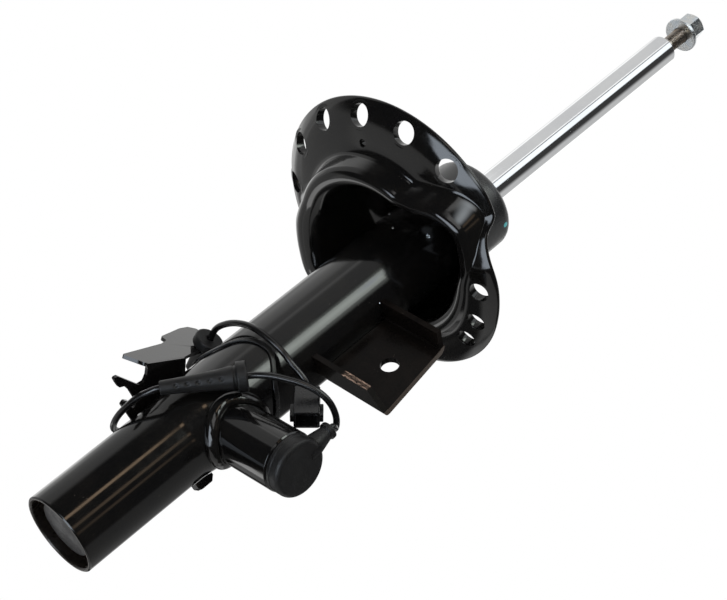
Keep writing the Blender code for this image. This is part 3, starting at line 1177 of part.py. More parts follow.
def make_plug(finish):
    """The plug body with its open mouth, and two terminals inside."""
    place = plug_place()
    back = -PLUG_LENGTH / 2
    body = rounded(box_outline(PLUG_WIDTH, PLUG_THICKNESS), PLUG_CORNER)
    plug = extruded("plug_body", finish["plastic"], body, PLUG_LENGTH,
                    place=place @ Matrix.Translation((0, 0, back)))
    wing = extruded("plug_wing", None,
                    box_outline(PLUG_WIDTH + 2 * PLUG_WING_REACH, PLUG_WING_THICKNESS),
                    PLUG_WING_LENGTH,
                    place=place @ Matrix.Translation((0, 0, PLUG_WING_START)))
    modify(plug, "UNION", wing)
    collar = turned("plug_collar", None,
                    [(0.0, back - PLUG_COLLAR_LENGTH),
                     (PLUG_COLLAR_TIP_RADIUS, back - PLUG_COLLAR_LENGTH),
                     (PLUG_COLLAR_RADIUS, back + PLUG_COLLAR_SINK),
                     (0.0, back + PLUG_COLLAR_SINK)], SMALL_STEPS, place=place)
    modify(plug, "UNION", collar)
    mouth_outline = rounded(box_outline(PLUG_WIDTH - 2 * PLUG_WALL,
                                        PLUG_THICKNESS - 2 * PLUG_WALL), PLUG_MOUTH_CORNER)
    floor = PLUG_LENGTH / 2 - PLUG_MOUTH_DEPTH
    mouth = extruded("plug_mouth", None, mouth_outline, PLUG_MOUTH_DEPTH + CUT_BEYOND,
                     place=place @ Matrix.Translation((0, 0, floor)))
    modify(plug, "DIFFERENCE", mouth)
    for name, side in (("terminal_left", -0.5), ("terminal_right", 0.5)):
        spot = place @ Matrix.Translation((side * TERMINAL_SPACING, TERMINAL_SIDE,
                                           floor + SEAT_GAP))
        turned(name, finish["steel"],
               [(0.0, 0.0), (TERMINAL_RADIUS, 0.0), (TERMINAL_RADIUS, TERMINAL_LENGTH),
                (0.0, TERMINAL_LENGTH)], 8, place=spot)


def make_cable_tie(finish):
    """The strap round the tube, with its lock head at the back."""
    steps = TIE_STEPS
    azimuth = np.arange(steps) * 360.0 / steps
    height = around(TIE_HEIGHTS, azimuth)
    inner = UPPER_TUBE_RADIUS + SEAT_GAP + TIE_SLACK
    outer = inner + TIE_THICKNESS
    turn = np.radians(azimuth)
    shape = bmesh.new()
    rings = []
    for radius, side in ((inner, -0.5), (outer, -0.5), (outer, 0.5), (inner, 0.5)):
        points = np.stack([radius * np.cos(turn), radius * np.sin(turn),
                           height + side * TIE_WIDTH], axis=-1)
        rings.append([shape.verts.new(point) for point in points])
    for near, far in zip(rings, rings[1:] + rings[:1]):
        for index in range(steps):
            after = (index + 1) % steps
            shape.faces.new((near[index], near[after], far[after], far[index]))
    tie = add_object("cable_tie", shape, finish["plastic"])
    width, height_size, depth = TIE_HEAD
    head_height = float(around(TIE_HEIGHTS, TIE_HEAD_AT))
    spot = on_circle(outer - TIE_HEAD_SINK, TIE_HEAD_AT, head_height)
    out = Vector((spot.x, spot.y, 0.0)).normalized()
    head = extruded("tie_head", None, box_outline(height_size, width), depth,
                    place=frame(spot, (0, 0, 1), out))
    modify(tie, "UNION", head)


# ---- the whole strut -----------------------------------------------------------------
def main():
    clear_scene()
    finish = make_finishes()
    valve_axis = make_valve_axis()
    space = tube_space()
    make_tubes(finish, valve_axis)
    make_lower_end(finish)
    make_top_end(finish)
    make_rod_and_piston(finish)
    make_spring_seat(finish)
    make_link_bracket(finish, space)
    make_hose_bracket(finish, space, make_rear_grommet_space())
    make_locating_tab(finish, space)
    make_valve(finish, valve_axis, space)
    make_cable(finish, valve_axis)
    make_grommet("front_grommet", finish, FRONT_GROMMET_TOP, FRONT_GROMMET_TAIL)
    make_grommet("rear_grommet", finish, REAR_GROMMET_TOP, REAR_GROMMET_TAIL)
    make_plug(finish)
    make_cable_tie(finish)


main()
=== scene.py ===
# %% [markdown]
# # A front suspension strut
# The real object is the damper leg of a car: a black coated tube with a spring seat, two
# brackets and a side control valve with its cable, and a chromed rod that slides out of it.
# The frame already holds every piece at its real size. It could be rendered as it is, but its
# solids are coarse. So this lesson puts a fine surface over each piece that shows, worked out
# from formulas, and then gives each one the finish of the real metal, rubber or plastic.

# %% Load the frame
import json
import math

import bmesh
import bpy
import numpy as np
from mathutils import Matrix, Vector


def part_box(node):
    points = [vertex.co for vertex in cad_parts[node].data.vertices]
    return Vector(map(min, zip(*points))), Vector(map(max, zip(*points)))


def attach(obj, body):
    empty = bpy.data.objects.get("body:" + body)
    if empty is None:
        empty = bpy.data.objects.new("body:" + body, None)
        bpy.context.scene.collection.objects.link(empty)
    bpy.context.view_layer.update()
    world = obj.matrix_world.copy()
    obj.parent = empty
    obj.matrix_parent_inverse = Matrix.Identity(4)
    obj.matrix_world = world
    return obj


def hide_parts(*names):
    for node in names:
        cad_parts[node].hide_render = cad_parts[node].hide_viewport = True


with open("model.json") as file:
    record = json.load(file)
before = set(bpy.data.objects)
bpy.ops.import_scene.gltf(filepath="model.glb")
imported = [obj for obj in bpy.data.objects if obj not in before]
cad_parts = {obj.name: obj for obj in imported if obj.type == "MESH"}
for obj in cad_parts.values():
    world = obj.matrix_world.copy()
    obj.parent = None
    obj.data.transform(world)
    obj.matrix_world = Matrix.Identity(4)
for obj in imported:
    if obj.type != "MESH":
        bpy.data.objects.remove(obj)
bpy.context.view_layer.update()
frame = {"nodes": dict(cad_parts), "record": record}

# %% [markdown]
# ## Camera
# The photograph looks up along the strut from below its lower end, so the near tube looks
# large and the far rod looks small. A camera can be aimed by trial, but here its place was
# worked out from the outlines in the photograph: two directions square to each other on the
# ground, how far the camera lies along them, and how it is pitched and rolled.

# %% Place the camera
FRAME_WIDTH = 727                      # pixels, of a photograph of 727 x 600
FOCAL_LENGTH_PIXELS = 1731.0
SENSOR_WIDTH = 36.0                    # mm
CAMERA_AZIMUTH = math.radians(-50.0)
CAMERA_OUT, CAMERA_SIDE, CAMERA_UP = 1.014, 0.0051, -0.2881
PITCH_SINE, PITCH_COSINE = 0.4756, 0.8796
ROLL_SINE, ROLL_COSINE = 0.6286, 0.7777

towards_camera = Vector((math.cos(CAMERA_AZIMUTH), math.sin(CAMERA_AZIMUTH), 0.0))
sideways = Vector((-math.sin(CAMERA_AZIMUTH), math.cos(CAMERA_AZIMUTH), 0.0))
upright = Vector((0.0, 0.0, 1.0))
steep = PITCH_SINE * towards_camera + PITCH_COSINE * upright
looking = -PITCH_COSINE * towards_camera + PITCH_SINE * upright
right = (ROLL_COSINE * steep + ROLL_SINE * sideways).normalized()
up = (ROLL_SINE * steep - ROLL_COSINE * sideways).normalized()

camera_data = bpy.data.cameras.new("photo_camera")
camera_data.sensor_width = SENSOR_WIDTH
camera_data.lens = FOCAL_LENGTH_PIXELS / FRAME_WIDTH * SENSOR_WIDTH
camera = bpy.data.objects.new("photo_camera", camera_data)
bpy.context.scene.collection.objects.link(camera)
camera_place = (towards_camera * CAMERA_OUT + sideways * CAMERA_SIDE + upright * CAMERA_UP)
camera_turn = Matrix((right, up, -looking.normalized())).transposed().to_4x4()
camera.matrix_world = Matrix.Translation(camera_place) @ camera_turn
bpy.context.scene.camera = camera
print("lens %.1f mm, camera at %s" % (camera_data.lens, [round(c, 3) for c in camera_place]))

# %% [markdown]
# ## Tools for shader nodes
# A material in Blender is a small graph. Building graphs by hand in the editor is quick, but
# it can't be read afterwards. A few short helpers make each graph read like a recipe: add a
# node, set what it needs, and link the next one to it.

# %% Helpers for node graphs
def add_node(tree, kind, inputs=(), **settings):
    """A new node of a graph, with its settings, and its inputs given as values or as links."""
    node = tree.nodes.new(kind)
    for name, value in settings.items():
        setattr(node, name, value)
    for name, value in dict(inputs).items():
        socket = node.inputs[name]
        if isinstance(value, bpy.types.NodeSocket):
            tree.links.new(value, socket)
        else:
            socket.default_value = value
    return node


def object_place(tree):
    """The point's own place on its object, which patterns are laid out by."""
    return add_node(tree, "ShaderNodeTexCoord").outputs["Object"]


def noise(tree, place, scale, detail=2.0, roughness=0.5):
    """Cloudy noise between 0 and 1, by place."""
    node = add_node(tree, "ShaderNodeTexNoise", {"Vector": place, "Scale": scale,
                                                 "Detail": detail, "Roughness": roughness})
    return node.outputs["Fac"]


def remap(tree, value, start, end, low=0.0, high=1.0):
    """Spread a value from start..end to low..high, with soft ends."""
    node = add_node(tree, "ShaderNodeMapRange", {"Value": value, "From Min": start,
                                                 "From Max": end, "To Min": low,
                                                 "To Max": high},
                    interpolation_type="SMOOTHSTEP")
    return node.outputs["Result"]


def calculate(tree, operation, first, second=0.0):
    """One step of arithmetic on values."""
    return add_node(tree, "ShaderNodeMath", {0: first, 1: second},
                    operation=operation).outputs["Value"]


def product(tree, *factors):
    """The product of values or masks."""
    result = factors[0]
    for factor in factors[1:]:
        result = calculate(tree, "MULTIPLY", result, factor)
    return result


def blend_colors(tree, mask, color_a, color_b):
    """Colour a where the mask is 0, and colour b where it is 1."""
    node = add_node(tree, "ShaderNodeMix", {"Factor": mask}, data_type="RGBA")
    for name, color in (("A", color_a), ("B", color_b)):
        socket = [item for item in node.inputs if item.name == name and item.type == "RGBA"][0]
        if isinstance(color, bpy.types.NodeSocket):
            tree.links.new(color, socket)
        else:
            socket.default_value = (*color, 1.0)
    return [item for item in node.outputs if item.type == "RGBA"][0]


def new_group(name, inputs, outputs):
    """A shader node group with named inputs (name, kind, value) and outputs (name, kind)."""
    group = bpy.data.node_groups.new(name, "ShaderNodeTree")
    for socket_name, kind, value in inputs:
        socket = group.interface.new_socket(socket_name, in_out="INPUT", socket_type=kind)
        socket.default_value = value
    for socket_name, kind in outputs:
        group.interface.new_socket(socket_name, in_out="OUTPUT", socket_type=kind)
    return group, group.nodes.new("NodeGroupInput"), group.nodes.new("NodeGroupOutput")


def use_group(tree, group, **inputs):
    """Put a node group into a material, and give its inputs their values or links."""
    node = tree.nodes.new("ShaderNodeGroup")
    node.node_tree = group
    for name, value in inputs.items():
        socket = node.inputs[name.replace("_", " ")]
        if isinstance(value, bpy.types.NodeSocket):
            tree.links.new(value, socket)
        else:
            socket.default_value = value
    return node


def bare_tree(owner):
    """The emptied node tree of a material or a world, for graphs that use no Principled BSDF."""
    owner.use_nodes = True
    owner.node_tree.nodes.clear()
    return owner.node_tree


def mix_shaders(tree, mask, first, second):
    """The first shader where the mask is 0, and the second where it is 1."""
    mixed = add_node(tree, "ShaderNodeMixShader", {0: mask})
    tree.links.new(first.outputs[0], mixed.inputs[1])
    tree.links.new(second.outputs[0], mixed.inputs[2])
    return mixed


def end_with(tree, shader, kind="ShaderNodeOutputMaterial"):
    """Link a shader to a new output of its material or world."""
    tree.links.new(shader.outputs[0], tree.nodes.new(kind).inputs["Surface"])


FLOAT = "NodeSocketFloat"

# %% [markdown]
# ## Effects that several finishes share
# Dipped paint has a faint orange-peel surface and collects a little dust. Turned metal has
# rings of tool marks, and moulded rubber has a fine grain. Each effect could be copied into
# every material. A node group keeps it in one place, and each material sets its own strength.

# %% Build the shared node groups
def make_mottle():
    """Large soft clouds mixed with small ones: how uneven a finish is, from 0 to 1."""
    group, start, end = new_group("mottle", [("Size", FLOAT, 60.0), ("Fine Size", FLOAT, 600.0)],
                                  [("Value", FLOAT)])
    place = object_place(group)
    large = noise(group, place, start.outputs["Size"], 3.0)
    small = noise(group, place, start.outputs["Fine Size"], 2.0)
    mixed = calculate(group, "ADD", product(group, large, 0.65), product(group, small, 0.35))
    group.links.new(remap(group, mixed, 0.35, 0.65), end.inputs["Value"])
    return group


def make_orange_peel():
    """The low waves of a dipped paint film, as a height."""
    group, start, end = new_group("orange_peel", [("Size", FLOAT, 450.0)], [("Height", FLOAT)])
    place = object_place(group)
    waves = noise(group, place, start.outputs["Size"], 1.0, 0.4)
    broad = noise(group, place, product(group, start.outputs["Size"], 0.12), 1.0)
    height = calculate(group, "ADD", product(group, waves, 0.25), broad)
    group.links.new(height, end.inputs["Height"])
    return group


def make_grain():
    """The fine pits of a moulded or cast surface, as a height."""
    group, start, end = new_group("grain", [("Size", FLOAT, 1500.0)], [("Height", FLOAT)])
    place = object_place(group)
    pits = add_node(group, "ShaderNodeTexVoronoi", {"Vector": place,
                                                    "Scale": start.outputs["Size"]})
    soft = noise(group, place, product(group, start.outputs["Size"], 0.3), 3.0)
    height = calculate(group, "ADD", product(group, pits.outputs["Distance"], 0.5), soft)
    group.links.new(height, end.inputs["Height"])
    return group


def make_specks():
    """Sparse small specks of dust or dirt, as a mask."""
    group, start, end = new_group("specks", [("Size", FLOAT, 260.0), ("Share", FLOAT, 0.1)],
                                  [("Mask", FLOAT)])
    place = object_place(group)
    cells = add_node(group, "ShaderNodeTexVoronoi", {"Vector": place,
                                                     "Scale": start.outputs["Size"]})
    gate = remap(group, noise(group, place, 23.0, 2.0), 0.45, 0.7)
    dots = remap(group, cells.outputs["Distance"], start.outputs["Share"], 0.02)
    group.links.new(product(group, gate, dots), end.inputs["Mask"])
    return group


def make_turning_marks():
    """Fine rings round Z: noise that changes along Z and hardly at all round it."""
    group, start, end = new_group("turning_marks", [("Pitch", FLOAT, 5000.0)],
                                  [("Height", FLOAT)])
    place = object_place(group)
    stretch = add_node(group, "ShaderNodeMapping", {"Vector": place,
                                                    "Scale": (0.004, 0.004, 1.0)})
    marks = noise(group, stretch.outputs["Vector"], start.outputs["Pitch"], 2.0)
    group.links.new(marks, end.inputs["Height"])
    return group


MOTTLE, ORANGE_PEEL, GRAIN = make_mottle(), make_orange_peel(), make_grain()
SPECKS, TURNING_MARKS = make_specks(), make_turning_marks()
print("node groups:", [group.name for group in bpy.data.node_groups])

# %% [markdown]
# ## One recipe for all finishes
# Every finish here has the same skeleton: a base colour with a second colour mottled into it,
# a roughness that wanders between two values, a height that feeds a bump, and a few specks.
# One function builds that skeleton, and what only one finish has is added to it afterwards.

# %% A function that builds a finish
def make_finish(name, color, second_color, roughness, metallic=0.0, height_group=None,
                height_size=450.0, bump=0.1, bump_depth=0.0002, clouds=60.0, specks=0.0,
                speck_color=(0.25, 0.22, 0.18), **shader_values):
    """A material: mottled colour and roughness, bump from a height group, and dust specks."""
    finish = bpy.data.materials.new(name)
    finish.use_nodes = True
    tree = finish.node_tree
    shader = tree.nodes["Principled BSDF"]
    shader.inputs["Metallic"].default_value = metallic
    for socket_name, value in shader_values.items():
        shader.inputs[socket_name.replace("_", " ")].default_value = value
    uneven = use_group(tree, MOTTLE, Size=clouds, Fine_Size=clouds * 9.0).outputs["Value"]
    base = blend_colors(tree, uneven, color, second_color)
    rough = remap(tree, uneven, 0.0, 1.0, *roughness)
    if specks > 0.0:
        mask = use_group(tree, SPECKS, Share=specks).outputs["Mask"]
        base = blend_colors(tree, mask, base, speck_color)
        rough = calculate(tree, "MAXIMUM", rough, product(tree, mask, 0.8))
    tree.links.new(base, shader.inputs["Base Color"])
    tree.links.new(rough, shader.inputs["Roughness"])
    if height_group is not None:
        node = tree.nodes.new("ShaderNodeGroup")
        node.node_tree = height_group
        node.inputs[0].default_value = height_size
        relief = add_node(tree, "ShaderNodeBump", {"Height": node.outputs["Height"],
                                                   "Strength": bump, "Distance": bump_depth})
        tree.links.new(relief.outputs["Normal"], shader.inputs["Normal"])
    return finish


def color_source(finish):
    """The socket that feeds a finish's base colour, for a step that adds to it."""
    return finish.node_tree.nodes["Principled BSDF"].inputs["Base Color"].links[0].from_socket


def set_color(finish, source):
    """Feed a finish's base colour from another socket."""
    tree = finish.node_tree
    tree.links.new(source, tree.nodes["Principled BSDF"].inputs["Base Color"])


def object_mask(tree, centre, reach, softness):
    """A ball-shaped mask: 1 inside reach of a point, 0 beyond reach plus softness."""
    place = object_place(tree)
    away = add_node(tree, "ShaderNodeVectorMath", {0: place, 1: centre}, operation="DISTANCE")
    return remap(tree, away.outputs["Value"], reach + softness, reach)


# %% [markdown]
# ## The finishes
# The tube, seat and brackets are dipped in a glossy black coat. The rod is ground and
# chromed, the washer and nut are zinc plated, and the stud is bare steel with a trace of oil.
# Rubber is matte, and the plug and cap are moulded plastic. Pictures of such surfaces could
# be wrapped round the pieces. Procedural finishes stay sharp at every distance and need none.

# %% Make the finishes
BLACK = (0.0026, 0.0026, 0.0028)
DUST = (0.085, 0.072, 0.058)
black_coat = make_finish("black_coat", BLACK, (0.0044, 0.0041, 0.0038), (0.085, 0.125),
                         height_group=ORANGE_PEEL, height_size=420.0, bump=0.07,
                         bump_depth=0.0004, specks=0.08, speck_color=DUST)
weld_coat = make_finish("weld_coat", BLACK, (0.0060, 0.0056, 0.0052), (0.10, 0.16),
                        height_group=ORANGE_PEEL, height_size=700.0, bump=0.14,
                        bump_depth=0.0004, clouds=140.0)
# The link bracket gets a shaded copy of the black coat: its reflection is turned far down, so the
# bracket renders darker than the same coat elsewhere. This is painted shade.
shaded_link_coat = make_finish("shaded_link_coat", (0.0030, 0.0026, 0.0024), (0.0058, 0.0046, 0.0040),
                        (0.12, 0.22), height_group=ORANGE_PEEL, height_size=420.0, bump=0.10,
                        bump_depth=0.0004, specks=0.08, speck_color=DUST,
                        Specular_IOR_Level=0.06)
bore_coat = make_finish("bore_coat", (0.085, 0.070, 0.058), (0.13, 0.105, 0.085), (0.26, 0.40),
                        height_group=GRAIN, height_size=900.0, bump=0.20, bump_depth=0.0002,
                        specks=0.16, speck_color=DUST)
rubber = make_finish("rubber", (0.0042, 0.0042, 0.0044), (0.0085, 0.0085, 0.0088), (0.40, 0.54),
                     height_group=GRAIN, height_size=1400.0, bump=0.30, bump_depth=0.0002,
                     clouds=90.0, specks=0.08, speck_color=DUST, Specular_IOR_Level=0.34)
cable_sheath = make_finish("cable_sheath", (0.0034, 0.0034, 0.0036), (0.0062, 0.0062, 0.0065),
                           (0.16, 0.24), height_group=GRAIN, height_size=1200.0, bump=0.08,
                           bump_depth=0.0002)
plastic = make_finish("plastic", (0.0040, 0.0040, 0.0042), (0.0075, 0.0075, 0.0080),
                      (0.26, 0.38), height_group=GRAIN, height_size=1800.0, bump=0.22,
                      bump_depth=0.0002)
cap_plastic = make_finish("cap_plastic", (0.013, 0.0135, 0.014), (0.021, 0.0215, 0.022),
                          (0.26, 0.36), height_group=GRAIN, height_size=900.0, bump=0.20,
                          bump_depth=0.0002)
chrome = make_finish("chrome", (0.80, 0.81, 0.82), (0.75, 0.76, 0.78), (0.055, 0.10), 1.0,
                     TURNING_MARKS, 4000.0, 0.10, 0.00005, clouds=25.0)
zinc = make_finish("zinc", (0.64, 0.70, 0.76), (0.74, 0.73, 0.70), (0.22, 0.32), 1.0,
                   GRAIN, 1500.0, 0.20, 0.0001, clouds=150.0)
thread_steel = make_finish("thread_steel", (0.42, 0.39, 0.36), (0.28, 0.23, 0.18),
                           (0.26, 0.40), 1.0, GRAIN, 1500.0, 0.20, 0.0001, clouds=180.0)
steel = make_finish("steel", (0.46, 0.46, 0.47), (0.38, 0.38, 0.38), (0.26, 0.38), 1.0,
                    TURNING_MARKS, 3000.0, 0.30, 0.0001)
grey_metal = make_finish("grey_metal", (0.20, 0.21, 0.22), (0.27, 0.27, 0.27), (0.38, 0.52),
                         1.0, GRAIN, 900.0, 0.30, 0.0002)
bronze = make_finish("bronze", (0.60, 0.42, 0.22), (0.50, 0.33, 0.17), (0.28, 0.40), 1.0,
                     TURNING_MARKS, 3000.0, 0.25, 0.0001)
copper = make_finish("copper", (0.72, 0.36, 0.20), (0.60, 0.28, 0.15), (0.22, 0.34), 1.0,
                     TURNING_MARKS, 2200.0, 0.60, 0.0003)
BY_SLOT = {"black_coat": black_coat, "steel": steel, "rubber": rubber, "plastic": plastic,
           "grey_metal": grey_metal, "bronze": bronze, "chrome": chrome, "zinc": zinc,
           "copper": copper}
print("finishes:", len(bpy.data.materials))

# %% [markdown]
# ## Tools for shapes
# Almost every piece here is one of three surfaces: an outline turned round an axis, an
# outline pushed along a straight line, or a circle carried along a path. They could be made
# with Blender's own modifiers. Here each one is a grid of points from a formula of two
# parameters, worked out as whole arrays, which keeps the sizes exact and the script short.

# %% Helpers for surfaces
def grid_faces(rows, columns, close_rows, close_columns=True):
    """Quads between the neighbours of a grid whose points are numbered row by row."""
    row = np.arange(rows if close_rows else rows - 1)[:, None]
    column = np.arange(columns if close_columns else columns - 1)[None, :]
    next_row, next_column = (row + 1) % rows, (column + 1) % columns
    corners = np.broadcast_arrays(row * columns + column, row * columns + next_column,
                                  next_row * columns + next_column,
                                  next_row * columns + column)
    return np.stack(corners, axis=-1).reshape(-1, 4)


def build_mesh(name, points, faces, finish=None, sharp=40.0):
    """A smooth-shaded object: doubles merged, faces pointing outwards, edges past sharp kept."""
    mesh = bpy.data.meshes.new(name)
    mesh.from_pydata(np.asarray(points).reshape(-1, 3).tolist(), [], [list(f) for f in faces])
    shape = bmesh.new()
    shape.from_mesh(mesh)
    bmesh.ops.remove_doubles(shape, verts=shape.verts, dist=1e-7)
    bmesh.ops.recalc_face_normals(shape, faces=shape.faces)
    if shape.calc_volume(signed=True) < 0.0:
        bmesh.ops.reverse_faces(shape, faces=shape.faces)
    shape.to_mesh(mesh)
    shape.free()
    mesh.shade_smooth()
    mesh.set_sharp_from_angle(angle=math.radians(sharp))
    item = bpy.data.objects.new(name, mesh)
    bpy.context.scene.collection.objects.link(item)
    if finish is not None:
        mesh.materials.append(finish)
    return item


def placed(points, place):
    """Points moved and turned by a 4x4 matrix."""
    turn = np.array(place)
    return np.asarray(points) @ turn[:3, :3].T + turn[:3, 3]


def axes_at(origin, x_way, z_way):
    """The matrix of a place whose X and Z run along the given ways."""
    z_axis = Vector(z_way).normalized()
    y_axis = z_axis.cross(Vector(x_way)).normalized()
    turn = Matrix((y_axis.cross(z_axis), y_axis, z_axis)).transposed()
    return Matrix.Translation(Vector(origin)) @ turn.to_4x4()


def round_corners(corners, radii, closed=True, steps=6):
    """An outline whose corners are arcs: each touches both its sides at radius / tan(half angle).

    A point just before and just after each arc keeps the shading of the long sides even.
    """
    corners = np.array(corners, float)
    radii = np.broadcast_to(np.array(radii, float), len(corners))
    result = []
    for index, corner in enumerate(corners):
        at_end = not closed and index in (0, len(corners) - 1)
        if radii[index] == 0.0 or at_end:
            result.append(corner)
            continue
        back = corners[index - 1] - corner
        onward = corners[(index + 1) % len(corners)] - corner
        room = 0.46 * min(np.linalg.norm(back), np.linalg.norm(onward))
        back, onward = back / np.linalg.norm(back), onward / np.linalg.norm(onward)
        half = math.acos(float(np.clip(back @ onward, -1.0, 1.0))) / 2
        cut = min(radii[index] / math.tan(half), room)
        radius = cut * math.tan(half)
        middle = back + onward
        centre = corner + middle / np.linalg.norm(middle) * radius / math.sin(half)
        first = np.arctan2(*(corner + back * cut - centre)[::-1])
        last = np.arctan2(*(corner + onward * cut - centre)[::-1])
        sweep = (last - first + math.pi) % math.tau - math.pi
        turn = first + sweep * np.linspace(0.0, 1.0, steps + 1)
        result.append(corner + back * cut * 1.08)
        result.extend(centre + radius * np.stack([np.cos(turn), np.sin(turn)], axis=-1))
        result.append(corner + onward * cut * 1.08)
    return np.array(result)


def circle_rows(outline, steps):
    """Rings of points round Z, one for each (radius, height) pair."""
    radius, height = np.asarray(outline).T
    turn = np.arange(steps) * math.tau / steps
    return np.stack([np.outer(radius, np.cos(turn)), np.outer(radius, np.sin(turn)),
                     np.outer(height, np.ones(steps))], axis=-1)


def turned(name, outline, finish=None, steps=160, closed=False, place=None, sharp=40.0):
    """An outline turned round Z: point(u, v) = (r(v) cos u, r(v) sin u, z(v))."""
    points = circle_rows(outline, steps)
    if place is not None:
        points = placed(points, place)
    return build_mesh(name, points, grid_faces(len(outline), steps, closed), finish, sharp)


def extruded(name, outline, depth, finish=None, place=None, sharp=40.0):
    """A flat outline pushed along Z: point(u, v) = (x(u), y(u), v), with a face at each end."""
    outline = np.asarray(outline)
    count = len(outline)
    levels = [np.column_stack([outline, np.full(count, level)]) for level in (0.0, depth)]
    points = np.stack(levels)
    if place is not None:
        points = placed(points, place)
    ends = [np.arange(count)[::-1], np.arange(count) + count]
    faces = list(grid_faces(2, count, False)) + ends
    return build_mesh(name, points, faces, finish, sharp)


def tube_points(path, radius, sides):
    """Circles carried along a path: centre(v) + radius(v) (cos u * side(v) + sin u * over(v))."""
    path = np.asarray(path, float)
    along = np.gradient(path, axis=0)
    along /= np.linalg.norm(along, axis=1, keepdims=True)
    side = np.zeros_like(path)
    side[0] = np.cross(along[0], (0.36, 0.48, 0.80))
    for index in range(1, len(path)):
        side[index] = side[index - 1] - along[index] * (side[index - 1] @ along[index])
        side[index] /= np.linalg.norm(side[index])
    side[0] /= np.linalg.norm(side[0])
    over = np.cross(along, side)
    turn = np.arange(sides) * math.tau / sides
    circle = (np.cos(turn)[None, :, None] * side[:, None]
              + np.sin(turn)[None, :, None] * over[:, None])
    return path[:, None] + np.broadcast_to(radius, len(path))[:, None, None] * circle


def change_shape(piece, other, operation="DIFFERENCE"):
    """Cut a piece by another, join them or keep what they share, and remove the other."""
    change = piece.modifiers.new(operation, "BOOLEAN")
    change.operation = operation
    change.solver = "EXACT"
    change.object = other
    bpy.context.view_layer.update()
    result = bpy.data.meshes.new_from_object(
        piece.evaluated_get(bpy.context.evaluated_depsgraph_get()))
    piece.modifiers.clear()
    piece.data = result
    bpy.data.objects.remove(other)
    result.set_sharp_from_angle(angle=math.radians(35.0))
    return piece


def soften_edges(piece, width, steps=3):
    """A Bevel modifier on every edge sharper than 30 degrees."""
    bevel = piece.modifiers.new("rounded_edges", "BEVEL")
    bevel.width = width
    bevel.segments = steps
    bevel.limit_method = "ANGLE"
    bevel.angle_limit = math.radians(30.0)
    bevel.miter_outer = "MITER_ARC"
    bevel.harden_normals = True
    return piece


def face_middles(piece):
    """The middle of every face, as rows of x, y, z."""
    middles = np.zeros(len(piece.data.polygons) * 3)
    piece.data.polygons.foreach_get("center", middles)
    return middles.reshape(-1, 3)


def choose_finishes(piece, finishes, numbers):
    """Add finishes to a piece, and give each face the finish of its number."""
    for finish in finishes:
        piece.data.materials.append(finish)
    piece.data.polygons.foreach_set("material_index", np.asarray(numbers, np.int32))


def finish_piece(piece, node, body="strut_body"):
    """Let a piece stand for a CAD node, and ride on that node's body."""
    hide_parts(node)
    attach(piece, body)
    piece.data.calc_loop_triangles()
    print("%s: %d triangles" % (piece.name, len(piece.data.loop_triangles)))
    return piece


# %% [markdown]
# ## Damper tube
# The tube is drawn steel that widens above the clamp. It could be a lathe form with a chamfer
# modifier. Turning a rounded outline gives the soft shoulders of the widened part and a thin
# bright rim at the open end, at the cost of a few more points.

# %% Turn the tube
SEAT_GAP = 0.0003                      # metres, between pieces that touch
LOWER_RADIUS, UPPER_RADIUS = 0.0280, 0.0305
LOWER_WALL, UPPER_WALL = 0.0027, 0.0025
SWAGE_START, SWAGE_END = 0.094, 0.112
TUBE_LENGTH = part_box("damper_tube")[1].z
EDGE = 0.0008
lower_bore, upper_bore = LOWER_RADIUS - LOWER_WALL, UPPER_RADIUS - UPPER_WALL

tube_corners = [(lower_bore + EDGE, 0.0), (LOWER_RADIUS - EDGE, 0.0), (LOWER_RADIUS, EDGE),
                (LOWER_RADIUS, SWAGE_START), (UPPER_RADIUS, SWAGE_END),
                (UPPER_RADIUS, TUBE_LENGTH), (upper_bore, TUBE_LENGTH),
                (upper_bore, SWAGE_END), (lower_bore, SWAGE_START), (lower_bore, EDGE)]
tube_radii = [0.0004, 0.0006, 0.0006, 0.030, 0.030, 0.0004, 0.0004, 0.030, 0.030, 0.0004]
tube = turned("tube", round_corners(tube_corners, tube_radii), black_coat, 224, closed=True)
VALVE_AZIMUTH = math.radians(-5.0)
VALVE_HEIGHT = 0.1222
valve_way = Vector((math.cos(VALVE_AZIMUTH), math.sin(VALVE_AZIMUTH), 0.0))
valve_place = axes_at((0.0, 0.0, VALVE_HEIGHT), (0, 0, 1), valve_way)
PORT_RADIUS, PORT_START, VALVE_FLOOR = 0.0054, 0.020, 0.036
port_cut = turned("port_cut", [(0.0, PORT_START), (PORT_RADIUS + SEAT_GAP, PORT_START),
                               (PORT_RADIUS + SEAT_GAP, VALVE_FLOOR), (0.0, VALVE_FLOOR)],
                  steps=32, place=valve_place)
change_shape(tube, port_cut)
# drops of weld spatter as (azimuth, height, radius), and one shallow centre mark
DROP_PROUD = 0.0001                    # a face further out than this is on a drop
SPATTER = [(-122.2, 0.3122, 0.0007), (-90.5, 0.2992, 0.0008), (-24.0, 0.2535, 0.0008)]
MARK_AZIMUTH, MARK_HEIGHT, MARK_RADIUS, MARK_DEPTH = -51.4, 0.3118, 0.0014, 0.0012


def on_tube(azimuth, height):
    """A place on the upper tube whose Z points straight out."""
    turn = math.radians(azimuth)
    out = Vector((math.cos(turn), math.sin(turn), 0.0))
    return axes_at(out * UPPER_RADIUS + Vector((0, 0, height)), (0, 0, 1), out)


